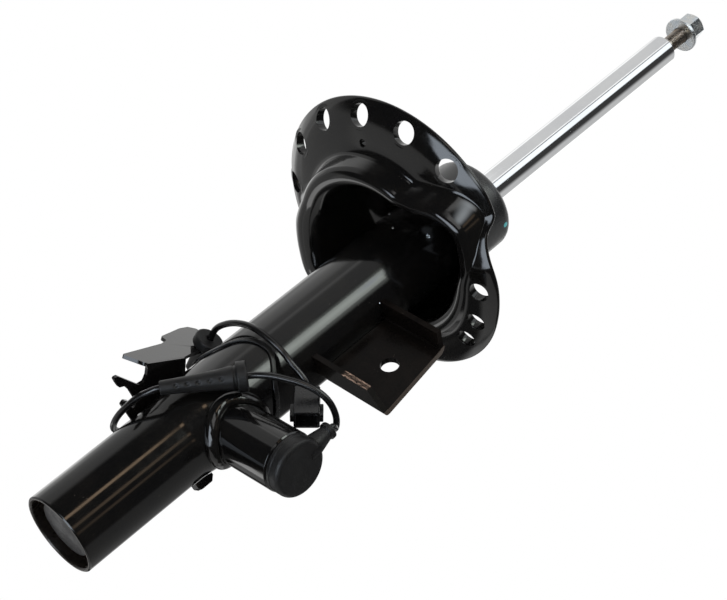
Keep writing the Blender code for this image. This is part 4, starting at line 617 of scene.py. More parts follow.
for azimuth, height, radius in SPATTER:
    arc = np.linspace(-math.pi / 2, math.pi / 2, 9)
    drop = turned("spatter_drop", np.stack([radius * np.cos(arc), radius * np.sin(arc)], axis=-1),
                  steps=16, place=on_tube(azimuth, height))
    change_shape(tube, drop, "UNION")
mark = turned("centre_mark", [(0.0, -MARK_DEPTH), (MARK_RADIUS * 0.6, -MARK_DEPTH * 0.8),
                              (MARK_RADIUS, 0.0), (MARK_RADIUS, MARK_DEPTH), (0.0, MARK_DEPTH)],
              steps=24, place=on_tube(MARK_AZIMUTH, MARK_HEIGHT))
change_shape(tube, mark)
middles = face_middles(tube)
from_tube_axis = np.hypot(middles[:, 0], middles[:, 1])
in_bore = from_tube_axis < LOWER_RADIUS - LOWER_WALL / 2
from_mark = np.linalg.norm(middles - np.array(on_tube(MARK_AZIMUTH, MARK_HEIGHT).translation),
                           axis=1)
bare = (from_tube_axis > UPPER_RADIUS + DROP_PROUD) | (from_mark < MARK_RADIUS * 0.9)
choose_finishes(tube, [bore_coat, zinc], np.where(bare, 2, in_bore))
finish_piece(tube, "damper_tube")


def tube_cutter():
    """The tube's outer shape with the seating gap, to fit what is welded on it."""
    low, high = LOWER_RADIUS + SEAT_GAP, UPPER_RADIUS + SEAT_GAP
    corners = [(0.0, -0.01), (low, -0.01), (low, SWAGE_START), (high, SWAGE_END),
               (high, TUBE_LENGTH), (0.0, TUBE_LENGTH)]
    return turned("tube_cutter", round_corners(corners, [0, 0, 0.03, 0.03, 0, 0], False),
                  steps=224)


# %% [markdown]
# ## Closed lower end
# A pressed cap closes the tube a little way inside its mouth. It could be a flat disc, but
# the real one has a dull face, a darker ring where it meets the wall, and a brownish rim of
# oil and rust protection. The colours are rings in the material, by distance from the axis.

# %% Turn the end cap and colour its rings
CAP_DEPTH, CAP_THICKNESS, CAP_BEVEL = 0.009, 0.008, 0.003
BOLT_RADIUS, BOLT_HEAD = 0.0075, 0.004
cap_radius = lower_bore - SEAT_GAP
cap_top = CAP_DEPTH + CAP_THICKNESS
socket_floor = cap_top - BOLT_HEAD - SEAT_GAP
CAP_RISE, CAP_CROWN, CAP_DISC_RADIUS, CAP_GROOVE_RADIUS = 0.0040, 0.0008, 0.0195, 0.0222
cap_face = CAP_DEPTH - CAP_RISE
cap_corners = [(0.0, cap_face - CAP_CROWN), (0.012, cap_face - 0.6 * CAP_CROWN),
               (CAP_DISC_RADIUS, cap_face), (CAP_GROOVE_RADIUS, CAP_DEPTH),
               (cap_radius - CAP_BEVEL / 2, CAP_DEPTH), (cap_radius, CAP_DEPTH + CAP_BEVEL),
               (cap_radius, cap_top), (BOLT_RADIUS + SEAT_GAP, cap_top),
               (BOLT_RADIUS + SEAT_GAP, socket_floor), (0.0, socket_floor)]
cap_radii = [0, 0.05, 0.0016, 0.0012, 0.0010, 0.0002, 0.0002, 0.0002, 0.0002, 0]
CAP_METALLIC = 0.85
GROOVE_COLOR, RIM_COLOR = (0.060, 0.050, 0.042), (0.11, 0.065, 0.035)
cap_metal = make_finish("cap_metal", (0.050, 0.050, 0.052), (0.032, 0.032, 0.033), (0.34, 0.50),
                        CAP_METALLIC, GRAIN, 700.0, 0.30, 0.0002, clouds=110.0, specks=0.16)
tree = cap_metal.node_tree
cap_place = object_place(tree)
flat_place = add_node(tree, "ShaderNodeVectorMath", {0: cap_place, 1: (1.0, 1.0, 0.0)},
                      operation="MULTIPLY").outputs["Vector"]
from_axis = add_node(tree, "ShaderNodeVectorMath", {0: flat_place},
                     operation="LENGTH").outputs["Value"]
wobble = product(tree, noise(tree, cap_place, 180.0, 3.0), 0.0016)
from_axis = calculate(tree, "ADD", from_axis, wobble)
ringed = blend_colors(tree, remap(tree, from_axis, 0.0192, 0.0212), color_source(cap_metal),
                      GROOVE_COLOR)
ringed = blend_colors(tree, remap(tree, from_axis, 0.0238, 0.0250), ringed, RIM_COLOR)
set_color(cap_metal, ringed)
base_cap = turned("end_cap", round_corners(cap_corners, cap_radii, False), cap_metal, 128)
finish_piece(base_cap, "base_cap")

# %% [markdown]
# ## Piston rod and its stud
# The rod is ground, chromed and chamfered, and its end is a threaded stud. A thread could be
# a bump in the material, which looks flat from the side. Here the stud's radius is a saw-tooth
# of height and turn, so the ridges are real and run round it as one helix.

# %% Turn the rod and cut its thread
ROD_RADIUS, STUD_RADIUS, PISTON_STUD_RADIUS = 0.011, 0.006, 0.007
rod_low, rod_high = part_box("piston_rod")
PISTON_STUD_LENGTH, STUD_LENGTH, ROD_CHAMFER = 0.034, 0.040, 0.0014
rod_bottom = rod_low.z + PISTON_STUD_LENGTH
shoulder = rod_high.z - STUD_LENGTH
THREAD_PITCH, THREAD_DEPTH = 0.0015, 0.00062
THREAD_START, STUD_CHAMFER, NECK_CUT = 0.0040, 0.0012, 0.0004
ROD_STEPS = 128

rod_corners = [(0.0, rod_low.z), (PISTON_STUD_RADIUS, rod_low.z),
               (PISTON_STUD_RADIUS, rod_bottom), (ROD_RADIUS, rod_bottom),
               (ROD_RADIUS, shoulder - ROD_CHAMFER), (ROD_RADIUS - ROD_CHAMFER, shoulder),
               (STUD_RADIUS - NECK_CUT, shoulder)]
rod_outline = round_corners(rod_corners, [0, 0.0005, 0, 0.0005, 0.0004, 0.0003, 0], False)


def stud_surface():
    """Rings of the stud: r = R - depth * ramp * tooth(z / pitch - u / tau), tooth a triangle.

    The ramp is 0 at the plain neck, which is cut a little thinner, and 1 along the thread. The
    tip is chamfered.
    """
    height = np.arange(0.0, STUD_LENGTH, THREAD_PITCH / 10)
    turn = np.arange(ROD_STEPS) * math.tau / ROD_STEPS
    phase = height[:, None] / THREAD_PITCH - turn[None, :] / math.tau
    tooth = np.clip(np.abs((phase % 1.0) - 0.5) * 2.4 - 0.1, 0.0, 1.0)
    ramp = np.clip((height - THREAD_START) / THREAD_PITCH, 0.0, 1.0)[:, None]
    radius = STUD_RADIUS - NECK_CUT * (1 - ramp) - THREAD_DEPTH * ramp * tooth
    tip = STUD_RADIUS - STUD_CHAMFER + (STUD_LENGTH - height)[:, None]
    radius = np.minimum(radius, tip)
    return np.stack([radius * np.cos(turn), radius * np.sin(turn),
                     np.broadcast_to(shoulder + height[:, None], radius.shape)], axis=-1)


tip_rows = circle_rows([(STUD_RADIUS - STUD_CHAMFER, rod_high.z), (0.0, rod_high.z)], ROD_STEPS)
rod_rows = np.concatenate([circle_rows(rod_outline, ROD_STEPS), stud_surface(), tip_rows])
rod = build_mesh("rod", rod_rows, grid_faces(len(rod_rows), ROD_STEPS, False), chrome)
choose_finishes(rod, [thread_steel], face_middles(rod)[:, 2] > shoulder - 1e-4)
finish_piece(rod, "piston_rod", "rod")

# %% [markdown]
# ## Washer and nut
# The nut and washer that hold the top mount are zinc plated. A nut is a six-sided prism, but
# its look comes from the chamfer that meets each corner in a curve. That curve appears by
# itself when the prism and a turned shape are cut to what they share.

# %% Turn the washer and cut the nut
WASHER_RADIUS, WASHER_THICKNESS = 0.0135, 0.0026
hole_radius = STUD_RADIUS + SEAT_GAP
washer_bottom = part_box("rod_washer")[0].z
washer_top = washer_bottom + WASHER_THICKNESS
washer_corners = [(hole_radius, washer_bottom), (WASHER_RADIUS, washer_bottom),
                  (WASHER_RADIUS, washer_top), (hole_radius, washer_top)]
washer = turned("washer", round_corners(washer_corners, [0.0002, 0.0006, 0.0006, 0.0002]),
                zinc, 96, closed=True)
finish_piece(washer, "rod_washer", "washer")

ACROSS_FLATS, NUT_CHAMFER = 0.018, 0.0012
nut_low, nut_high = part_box("rod_nut")
corner_radius = ACROSS_FLATS / math.sqrt(3)
sixths = np.arange(6) * math.tau / 6
hexagon = np.stack([np.cos(sixths), np.sin(sixths)], axis=-1) * corner_radius
nut = extruded("nut", round_corners(hexagon, 0.0004), nut_high.z - nut_low.z, zinc,
               Matrix.Translation((0, 0, nut_low.z)))
half = ACROSS_FLATS / 2
chamfer_body = turned("chamfer_body", round_corners(
    [(0.0, nut_low.z), (half - 0.0002, nut_low.z), (corner_radius, nut_low.z + NUT_CHAMFER),
     (corner_radius, nut_high.z - NUT_CHAMFER), (half - 0.0002, nut_high.z),
     (0.0, nut_high.z)], [0, 0.0006, 0, 0, 0.0006, 0], False), steps=96)
change_shape(nut, chamfer_body, "INTERSECT")
nut_bore = turned("nut_bore", [
    (0.0, nut_low.z - 0.001), (hole_radius + 0.0015, nut_low.z - 0.001),
    (hole_radius, nut_low.z + 0.0006), (hole_radius, nut_high.z - 0.0006),
    (hole_radius + 0.0015, nut_high.z + 0.001), (0.0, nut_high.z + 0.001)], steps=48)
change_shape(nut, nut_bore)
finish_piece(nut, "rod_nut", "nut")

# %% [markdown]
# ## Bump cap
# A black plastic cap sits on the tube's upper end and takes the blow of the bump stop. Its
# upper edge has a large round. A small dab of blue-green paint on its side is an inspection
# mark: it is a soft-edged ball of colour in the material, placed on the cap's skirt.

# %% Turn the cap and dab the paint
CAP_OUTER, CAP_ROUND, CAP_HOLE = 0.034, 0.008, 0.0125
cap_low, cap_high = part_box("bump_cap")
cap_inner = UPPER_RADIUS + SEAT_GAP
cap_roof = TUBE_LENGTH + SEAT_GAP
bump_corners = [(cap_inner, cap_low.z), (CAP_OUTER, cap_low.z), (CAP_OUTER, cap_high.z),
                (CAP_HOLE, cap_high.z), (CAP_HOLE, cap_roof), (cap_inner, cap_roof)]
bump_radii = [0.0004, 0.0010, CAP_ROUND, 0.0008, 0.0005, 0.0005]
bump_cap = turned("bump_cap_cover", round_corners(bump_corners, bump_radii, steps=10),
                  cap_plastic, 160, closed=True)
PAINT_AZIMUTH, PAINT_HEIGHT, PAINT_REACH = math.radians(0.5), 0.3716, 0.0014
PAINT_COLOR, PAINT_SOFTNESS = (0.06, 0.34, 0.36), 0.0010
paint_spot = (CAP_OUTER * math.cos(PAINT_AZIMUTH), CAP_OUTER * math.sin(PAINT_AZIMUTH),
              PAINT_HEIGHT)
tree = cap_plastic.node_tree
paint = object_mask(tree, paint_spot, PAINT_REACH, PAINT_SOFTNESS)
set_color(cap_plastic, blend_colors(tree, paint, color_source(cap_plastic), PAINT_COLOR))
finish_piece(bump_cap, "bump_cap")

# %% [markdown]
# ## Spring seat
# The spring seat is one pressed sheet: a collar on the tube, a bell-like roof, a deep ridge
# and a flange whose rim rises and falls. It could be sculpted or subdivided from a cage. Here
# each of its rings is a formula: radius and height change with the azimuth about the dish's
# centre, through a few values read off the real seat and joined by a smooth curve.

# %% Values and curves of the seat
SHEET = 0.003
SEAT_OFFSET, SEAT_OFFSET_AT = 0.0202, math.radians(228.5)
PLANE_HEIGHT, PLANE_SLOPE, PLANE_UP_AT = 0.3164, 0.0854, math.radians(304.3)
CURL, CURL_REACH, CURL_SLOPE = 0.009, 0.008, 0.115
NECK_TOP, NECK_BOTTOM, ROOF_HEIGHT = 0.338, 0.3300, 0.3245
ROOF_SHAPE = [(0.20, 0.0), (0.52, 0.12), (0.74, 0.40), (0.90, 0.80), (1.0, 1.0)]
FLANGE_SHARES = [0.0, 0.45, 0.75, 1.0]
# (azimuth in degrees about the dish's centre, value in metres or as a share)
RIM_RADII = [(0, 0.1015), (10, 0.1018), (60, 0.1018), (85, 0.1005), (130, 0.0975),
             (160, 0.0973), (320, 0.0973), (332, 0.0970), (337, 0.0940), (343, 0.0955),
             (350, 0.0995)]
RIM_LIFTS = [(0, -0.0190), (11, -0.0185), (30, -0.0158), (50, -0.0135), (70, -0.0115),
             (100, -0.006), (130, 0.0), (160, 0.0), (240, 0.0), (320, 0.0), (331, -0.0015),
             (338, -0.0120), (343, -0.0160), (350, -0.0190)]
CURL_SHARES = [(0, 0.5), (40, 0.5), (70, 0.6), (120, 0.9), (150, 1.0), (230, 1.0),
               (310, 1.0), (330, 0.8), (345, 0.5)]
ROOT_RADII = [(0, 0.0795), (34, 0.0790), (60, 0.0780), (100, 0.0780), (142, 0.0780),
              (174, 0.0780), (186, 0.0690), (198, 0.0625), (220, 0.0617), (260, 0.0625),
              (297, 0.0625), (308, 0.0710), (320, 0.0860), (330, 0.0905), (345, 0.0860)]
CREST_OUTER = [(0, 0.0775), (18, 0.0760), (34, 0.0740), (60, 0.0700), (100, 0.0650),
               (142, 0.0620), (174, 0.0610), (200, 0.0585), (240, 0.0585), (295, 0.0585),
               (307, 0.0635), (320, 0.0775), (332, 0.0860), (345, 0.0830)]
CREST_INNER = [(0, 0.0735), (18, 0.0700), (34, 0.0670), (60, 0.0610), (100, 0.0520),
               (142, 0.0470), (174, 0.0460), (200, 0.0460), (220, 0.0470), (240, 0.0485),
               (260, 0.0505), (280, 0.0525), (295, 0.0530), (307, 0.0575), (320, 0.0715),
               (332, 0.0800), (345, 0.0790)]
CREST_DEPTHS = [(0, 0.0270), (34, 0.0275), (60, 0.0290), (100, 0.0360), (142, 0.0435),
                (160, 0.0400), (174, 0.0370), (200, 0.0330), (240, 0.0320), (295, 0.0295),
                (307, 0.0285), (320, 0.0260), (332, 0.0250), (345, 0.0260)]


def around(pairs, azimuth):
    """A smooth periodic value through (azimuth, value) pairs.

    Between two pairs it is a cubic whose end slopes are the harmonic mean of the slopes on
    both sides, or 0 at a high or low point, so it never overshoots.
    """
    angles = np.array([pair[0] for pair in pairs], float)
    values = np.array([pair[1] for pair in pairs], float)
    angles = np.concatenate([angles[-2:] - 360, angles, angles[:2] + 360])
    values = np.concatenate([values[-2:], values, values[:2]])
    steps = np.diff(values) / np.diff(angles)
    before, beyond = steps[:-1], steps[1:]
    even = np.where(before + beyond == 0.0, 1.0, before + beyond)
    inner = np.where(before * beyond > 0.0, 2.0 * before * beyond / even, 0.0)
    slopes = np.concatenate([[0.0], inner, [0.0]])
    azimuth = np.mod(azimuth, 360.0)
    index = np.clip(np.searchsorted(angles, azimuth) - 1, 0, len(angles) - 2)
    width = angles[index + 1] - angles[index]
    share = (azimuth - angles[index]) / width
    return (values[index] * (1 + 2 * share) * (1 - share) ** 2
            + values[index + 1] * share ** 2 * (3 - 2 * share)
            + slopes[index] * width * share * (1 - share) ** 2
            - slopes[index + 1] * width * share ** 2 * (1 - share))


def dish_point(radius, azimuth):
    """(x, y) at a radius and azimuth about the dish's centre, which is off the tube's axis."""
    turn = np.radians(azimuth)
    return (SEAT_OFFSET * math.cos(SEAT_OFFSET_AT) + radius * np.cos(turn),
            SEAT_OFFSET * math.sin(SEAT_OFFSET_AT) + radius * np.sin(turn))


def plane_height(x, y):
    """Height of the tilted plane that the rim follows."""
    return PLANE_HEIGHT + PLANE_SLOPE * (x * math.cos(PLANE_UP_AT) + y * math.sin(PLANE_UP_AT))


def flange_height(radius, azimuth):
    """The flange: the plane, plus the rim's lift, less a curl that fades away from the rim."""
    x, y = dish_point(radius, azimuth)
    inset = around(RIM_RADII, azimuth) - radius
    drop = (CURL * (1 - np.exp(-inset / CURL_REACH)) + CURL_SLOPE * inset)
    return plane_height(x, y) + around(RIM_LIFTS, azimuth) - drop * around(CURL_SHARES, azimuth)


# %% [markdown]
# ### From rings to a sheet
# The rings alone make a bent shape with corners. Corner cutting rounds it: every segment
# gives its points at a quarter and three quarters, three times over, which ends in a smooth
# curve as a press would leave it. The sheet's two faces are that surface moved out and in by
# half its thickness, and a half circle joins them at the rim.

# %% Press the sheet
SEAT_STEPS, RIM_ARC_STEPS = 450, 6


def seat_rings(azimuth):
    """The middle surface of the seat, ring by ring from the collar to the rim."""
    def ring(radius, height):
        x, y = dish_point(radius, azimuth)
        return np.stack([x, y, height(x, y)], axis=-1)

    def collar(height):
        turn = np.radians(azimuth)
        radius = UPPER_RADIUS + SEAT_GAP + SHEET / 2
        return np.stack([radius * np.cos(turn), radius * np.sin(turn),
                         np.full_like(turn, height)], axis=-1)

    def crest(radius):
        return ring(radius, lambda x, y: plane_height(x, y) - around(CREST_DEPTHS, azimuth))

    start, inner, outer = collar(ROOF_HEIGHT), crest(around(CREST_INNER, azimuth)), crest(
        around(CREST_OUTER, azimuth))
    rings = [collar(NECK_TOP), collar(NECK_BOTTOM)]
    for share, drop in ROOF_SHAPE:
        row = start + (inner - start) * share
        row[:, 2] = start[:, 2] + (inner[:, 2] - start[:, 2]) * drop
        rings.append(row)
    root, rim = around(ROOT_RADII, azimuth), around(RIM_RADII, azimuth)
    flange = []
    for share in FLANGE_SHARES:
        radius = root + (rim - root) * share
        x, y = dish_point(radius, azimuth)
        flange.append(np.stack([x, y, flange_height(radius, azimuth)], axis=-1))
    rings += [outer, (outer + flange[0]) / 2, *flange]
    return np.array(rings)


def cut_corners(rings, times=3):
    """Corner cutting along the rings: new rings at 1/4 and 3/4 of each step, ends kept."""
    for _ in range(times):
        near = rings[:-1] * 0.75 + rings[1:] * 0.25
        far = rings[:-1] * 0.25 + rings[1:] * 0.75
        pairs = np.stack([near, far], axis=1).reshape(-1, *rings.shape[1:])
        rings = np.concatenate([rings[:1], pairs[1:-1], rings[-1:]])
    return rings


def closed_sheet(rings, thickness):
    """Rings of a closed sheet: face, rim arc, other face; the collar's end closes it."""
    along = np.gradient(rings, axis=0)
    round_it = np.roll(rings, -1, axis=1) - np.roll(rings, 1, axis=1)
    normals = np.cross(round_it, along)
    normals /= np.linalg.norm(normals, axis=2, keepdims=True)
    outward = rings[-1] - rings[-2]
    outward /= np.linalg.norm(outward, axis=1, keepdims=True)
    turn = np.linspace(0.0, math.pi, RIM_ARC_STEPS + 1)[1:-1, None, None]
    rim = rings[-1] + thickness / 2 * (normals[-1] * np.cos(turn) + outward * np.sin(turn))
    return np.concatenate([rings + normals * thickness / 2, rim,
                           (rings - normals * thickness / 2)[::-1]])


seat_azimuth = np.arange(SEAT_STEPS) * 360.0 / SEAT_STEPS
base_rings = seat_rings(seat_azimuth)
rim_pull = (base_rings[-1] - base_rings[-2])
rim_pull /= np.linalg.norm(rim_pull, axis=1, keepdims=True)
base_rings[-1] -= rim_pull * SHEET / 2     # the rim's half circle adds this much again
sheet_rings = closed_sheet(cut_corners(base_rings), SHEET)
seat = build_mesh("seat", sheet_rings, grid_faces(len(sheet_rings), SEAT_STEPS, True),
                  black_coat, 60.0)
print("seat rings:", len(sheet_rings))

# %% [markdown]
# ### Holes in the seat
# Nine large holes round the flange locate the spring's pad, and a smaller one drains it. The
# press draws a short collar up round each. Plain cylinders would leave knife edges. Each
# cutter is waisted like a spool, so it rounds both edges of its hole, and the coat's
# highlights catch on them.

# %% Cut the holes
LARGE_CIRCLE, LARGE_HOLE = 0.0877, 0.0158
LARGE_AT = [182.4, 207.2, 232.0, 256.8, 281.6, 306.4]
MEDIUM_CIRCLE, MEDIUM_HOLE = 0.0887, 0.0136
MEDIUM_AT = [0.0, 18.5, 34.0]
DRAIN_CIRCLE, DRAIN_HOLE, DRAIN_AT = 0.0702, 0.0056, [258.3]
HOLE_ROUND = 0.0007
COLLAR_RISE, COLLAR_WALL, DRAIN_RISE = 0.0042, 0.0014, 0.0036


def hole_place(circle, azimuth):
    """A place on the flange whose Z is square to it."""
    step = 0.001
    def point(radius, turn):
        return Vector((*dish_point(radius, turn), float(flange_height(radius, turn))))
    middle = point(circle, azimuth)
    outer = point(circle + step, azimuth) - middle
    beside = point(circle, azimuth + math.degrees(step / circle)) - middle
    return axes_at(middle, outer, outer.cross(beside))


def spool(radius, edge, top, steps):
    """A cutter's outline: a cylinder that flares in quarter circles at the two faces."""
    turn = np.linspace(0.0, math.pi / 2, steps)
    flare = np.stack([radius + edge * (1 - np.cos(turn)), edge * (np.sin(turn) - 1)], axis=-1)
    upper = flare + (0.0, top)
    lower = (flare * (1, -1))[::-1] + (0.0, -SHEET / 2)
    return np.concatenate([[(0.0, -3 * SHEET), (radius + edge, -3 * SHEET)], lower, upper,
                           [(radius + edge, top + SHEET), (0.0, top + SHEET)]])


def collar_outline(radius, top):
    """A solid disc that tapers up to a rounded shoulder: the drawn collar before its hole."""
    foot, head = radius + 1.7 * COLLAR_WALL, radius + COLLAR_WALL
    corners = [(0.0, 0.0), (foot, 0.0), (foot, SHEET / 2), (head, SHEET / 2 + 0.0010),
               (head, top), (0.0, top)]
    return round_corners(corners, [0, 0, 0.0006, 0.0012, 0.0006, 0], False, 4)


hole_sets = ((LARGE_AT, LARGE_CIRCLE, LARGE_HOLE, 56, HOLE_ROUND, COLLAR_RISE),
             (MEDIUM_AT, MEDIUM_CIRCLE, MEDIUM_HOLE, 48, HOLE_ROUND, COLLAR_RISE),
             (DRAIN_AT, DRAIN_CIRCLE, DRAIN_HOLE, 28, HOLE_ROUND / 2, DRAIN_RISE))
for places, circle, diameter, steps, edge, rise in hole_sets:
    for azimuth in places:
        place, top = hole_place(circle, azimuth), SHEET / 2 + rise
        raised = turned("hole_collar", collar_outline(diameter / 2, top), steps=steps,
                        place=place)
        change_shape(seat, raised, "UNION")
        cutter = turned("hole_cutter", spool(diameter / 2, edge, top, 5), steps=steps,
                        place=place)
        change_shape(seat, cutter)
seat.data.set_sharp_from_angle(angle=math.radians(50.0))
finish_piece(seat, "spring_seat")

# %% [markdown]
# ### Weld on the collar
# A fillet weld closes the joint between the seat's collar and the tube. A plain ring would
# do from afar. Real beads show a ripple for each pulse of the torch, so the fillet's radius
# waves as it goes round.

# %% Lay the collar's weld
SEAT_WELD, SEAT_RIPPLES, RIPPLE_DEPTH = 0.0026, 70, 0.05
SEAT_WELD_STEPS, SEAT_WELD_SIDES = 420, 8


def seat_weld_surface(steps, sides):
    """A fillet: from the tube's side, out by s cos v and up by s sin v, with s rippled by u."""
    inner, bottom = UPPER_RADIUS + SEAT_GAP, NECK_TOP + SEAT_GAP
    turn = np.arange(steps) * math.tau / steps
    over = np.linspace(0.0, math.pi / 2, sides)[:, None]
    size = SEAT_WELD * (1 - RIPPLE_DEPTH * (0.5 + 0.5 * np.cos(
        SEAT_RIPPLES * turn + 2.0 * np.cos(over))) * np.sin(2 * over))
    radius, height = inner + size * np.cos(over), bottom + size * np.sin(over)
    radius = np.concatenate([radius, np.full((1, steps), inner)])
    height = np.concatenate([height, np.full((1, steps), bottom)])
    return np.stack([radius * np.cos(turn), radius * np.sin(turn), height], axis=-1)


weld_rows = seat_weld_surface(SEAT_WELD_STEPS, SEAT_WELD_SIDES)
seat_weld = build_mesh("collar_weld", weld_rows,
                       grid_faces(len(weld_rows), SEAT_WELD_STEPS, True), weld_coat)
finish_piece(seat_weld, "seat_weld")

# %% [markdown]
# ## Link bracket
# A channel of 4 mm sheet is welded to the tube, and the stabiliser link bolts through its
# hole. It could be a box with its inside cut away. Pushing the bent section along the channel
# gives true bend radii, and a narrow bevel rounds the cut edges as the dipped coat does.

# %% Bend, cut and soften the channel
LINK_SHEET, LINK_ROOT, LINK_BOTTOM, LINK_TOP, LINK_FLANGE = 0.004, 0.015, 0.1905, 0.2575, 0.0175
LINK_BEND, LINK_REACH_BOTTOM, LINK_REACH_TOP = 0.005, 0.0890, 0.0792
LINK_CORNER_BOTTOM, LINK_CORNER_TOP = 0.0745, 0.0775
link_slope = (LINK_REACH_BOTTOM - LINK_REACH_TOP) / (LINK_TOP - LINK_BOTTOM)
LINK_HOLE, LINK_HOLE_REACH, LINK_HOLE_HEIGHT = 0.0125, 0.0622, 0.2238


def make_link_bracket():
    """The channel: its section pushed along X, its end sheared, and its cuts made."""
    sheet, depth = LINK_SHEET, LINK_FLANGE
    section = [(0.0, LINK_BOTTOM), (0.0, LINK_TOP), (-depth, LINK_TOP),
               (-depth, LINK_TOP - sheet), (-sheet, LINK_TOP - sheet),
               (-sheet, LINK_BOTTOM + sheet), (-depth, LINK_BOTTOM + sheet),
               (-depth, LINK_BOTTOM)]
    bends = [LINK_BEND, LINK_BEND, 0, 0, LINK_BEND - sheet, LINK_BEND - sheet, 0, 0]
    place = axes_at((LINK_ROOT, sheet, 0.0), (0, 1, 0), (1, 0, 0))
    bracket = extruded("link_channel_bracket", round_corners(section, bends, steps=10),
                       LINK_REACH_TOP - LINK_ROOT, shaded_link_coat, place)
    spots = np.zeros(len(bracket.data.vertices) * 3)
    bracket.data.vertices.foreach_get("co", spots)
    spots = spots.reshape(-1, 3)
    far = spots[:, 0] > (LINK_ROOT + LINK_REACH_TOP) / 2
    spots[far, 0] = LINK_REACH_TOP + link_slope * (LINK_TOP - spots[far, 2])
    bracket.data.vertices.foreach_set("co", spots.ravel())
    change_shape(bracket, tube_cutter())
    hole = turned("link_hole", [(0.0, -depth), (LINK_HOLE / 2, -depth), (LINK_HOLE / 2, depth),
                                (0.0, depth)], steps=56,
                  place=axes_at((LINK_HOLE_REACH, 0, LINK_HOLE_HEIGHT), (1, 0, 0), (0, 1, 0)))
    change_shape(bracket, hole)
    front = sheet - depth
    for corner, reach, start in (
            (LINK_CORNER_BOTTOM, LINK_REACH_BOTTOM, LINK_BOTTOM - 2 * sheet),
            (LINK_CORNER_TOP, LINK_REACH_TOP, LINK_TOP - 2 * sheet)):
        wedge = [(reach + depth, -sheet / 8), (reach - sheet / 3, -sheet / 8),
                 (corner, front - sheet / 8), (corner, 2 * front), (reach + depth, 2 * front)]
        change_shape(bracket, extruded("corner_cut", wedge, 4 * sheet,
                                       place=Matrix.Translation((0, 0, start))))
    return bracket


link_bracket = soften_edges(make_link_bracket(), 0.00045)
finish_piece(link_bracket, "link_bracket")

# %% [markdown]
# ### Torn edge of the bracket, with a painted highlight
# The lower flange's cut face is brownish along its outer part: partly the rough bare steel of the
# sheared edge, and partly a painted warm highlight that is strongest towards the face's two
# edges.
# The far end is a little paler than the coat. Both could be modelled as bumps in the mesh, but
# they are too fine for that. So each is a mask by place on the bracket, and stretched noise
# breaks the cut face into streaks.

# %% Colour the cut face with its painted highlight, and the far end
TEAR_START, TEAR_TOP = 0.0530, LINK_BOTTOM + 0.012
# The cut face's brown is partly bare sheared steel and partly a painted warm highlight.
TEAR_AND_HIGHLIGHT_COLOR, END_COLOR = (0.36, 0.25, 0.19), (0.045, 0.036, 0.030)
TEAR_STRETCH, TEAR_SIZE = (0.30, 1.0, 2.2), 1300.0
flange_face = LINK_SHEET - LINK_FLANGE
tree = shaded_link_coat.node_tree
edge_place = object_place(tree)
edge_parts = add_node(tree, "ShaderNodeSeparateXYZ", {"Vector": edge_place}).outputs
on_face = remap(tree, edge_parts["Y"], flange_face + 0.0009, flange_face + 0.0003)
on_outer_part = remap(tree, edge_parts["X"], TEAR_START, TEAR_START + 0.0030)
on_lower_flange = remap(tree, edge_parts["Z"], TEAR_TOP, TEAR_TOP - 0.002)
stretched = add_node(tree, "ShaderNodeMapping", {"Vector": edge_place,
                                                 "Scale": TEAR_STRETCH}).outputs["Vector"]
streaks = remap(tree, noise(tree, stretched, TEAR_SIZE, 3.0, 0.7), 0.44, 0.62)
from_middle = calculate(tree, "ABSOLUTE", calculate(
    tree, "SUBTRACT", edge_parts["Z"], LINK_BOTTOM + LINK_SHEET / 2))
# Painted highlight: the brown is made stronger towards the cut face's two edges, where light
# catches.
near_corners = remap(tree, from_middle, 0.0004, 0.0016, 0.30, 1.0)
torn_and_highlight = product(tree, on_face, on_outer_part, on_lower_flange, streaks, near_corners)
torn_and_highlight_color = blend_colors(tree, torn_and_highlight, color_source(shaded_link_coat), TEAR_AND_HIGHLIGHT_COLOR)
along_end = calculate(tree, "ADD", edge_parts["X"], product(tree, edge_parts["Z"], link_slope))
end_level = LINK_REACH_TOP + link_slope * LINK_TOP
at_end = remap(tree, along_end, end_level - 0.0006, end_level - 0.0002)
set_color(shaded_link_coat, blend_colors(tree, at_end, torn_and_highlight_color, END_COLOR))
print("torn edge from x = %.3f m" % TEAR_START)

# %% [markdown]
# ## Hose bracket
# This sheet bracket has two hooked claws for the brake hose and a tall plate that holds the
# cable's rear grommet. Its outline has too many turns for a formula, so it is a short list of
# corners, each rounded, pushed through the sheet's thickness. The plate is a second leaf that
# is joined on along the bend.

# %% Cut out and join the two leaves
HOSE_SHEET = 0.0025
HOSE_TILT, HOSE_FOOT = math.radians(31.7), (-0.0391, 0.1074)
# the web's corners as (y, z), from the bend round both claws to the weld foot
HOSE_WEB = [(-0.0210, 0.1366), (-0.0391, 0.1074), (-0.0348, 0.1077), (-0.0305, 0.1058),
            (-0.0272, 0.1026), (-0.0278, 0.0985), (-0.0455, 0.0862), (-0.0463, 0.0828),
            (-0.0415, 0.0836), (-0.0367, 0.0848), (-0.0350, 0.0884), (-0.0288, 0.0911),
            (-0.0210, 0.0927), (-0.0150, 0.0925), (-0.0140, 0.0893), (-0.0215, 0.0885),
            (-0.0245, 0.0855), (-0.0230, 0.0825), (-0.0180, 0.0838), (-0.0050, 0.0868),
            (0.0050, 0.0900), (0.0055, 0.1230), (-0.0040, 0.1310)]
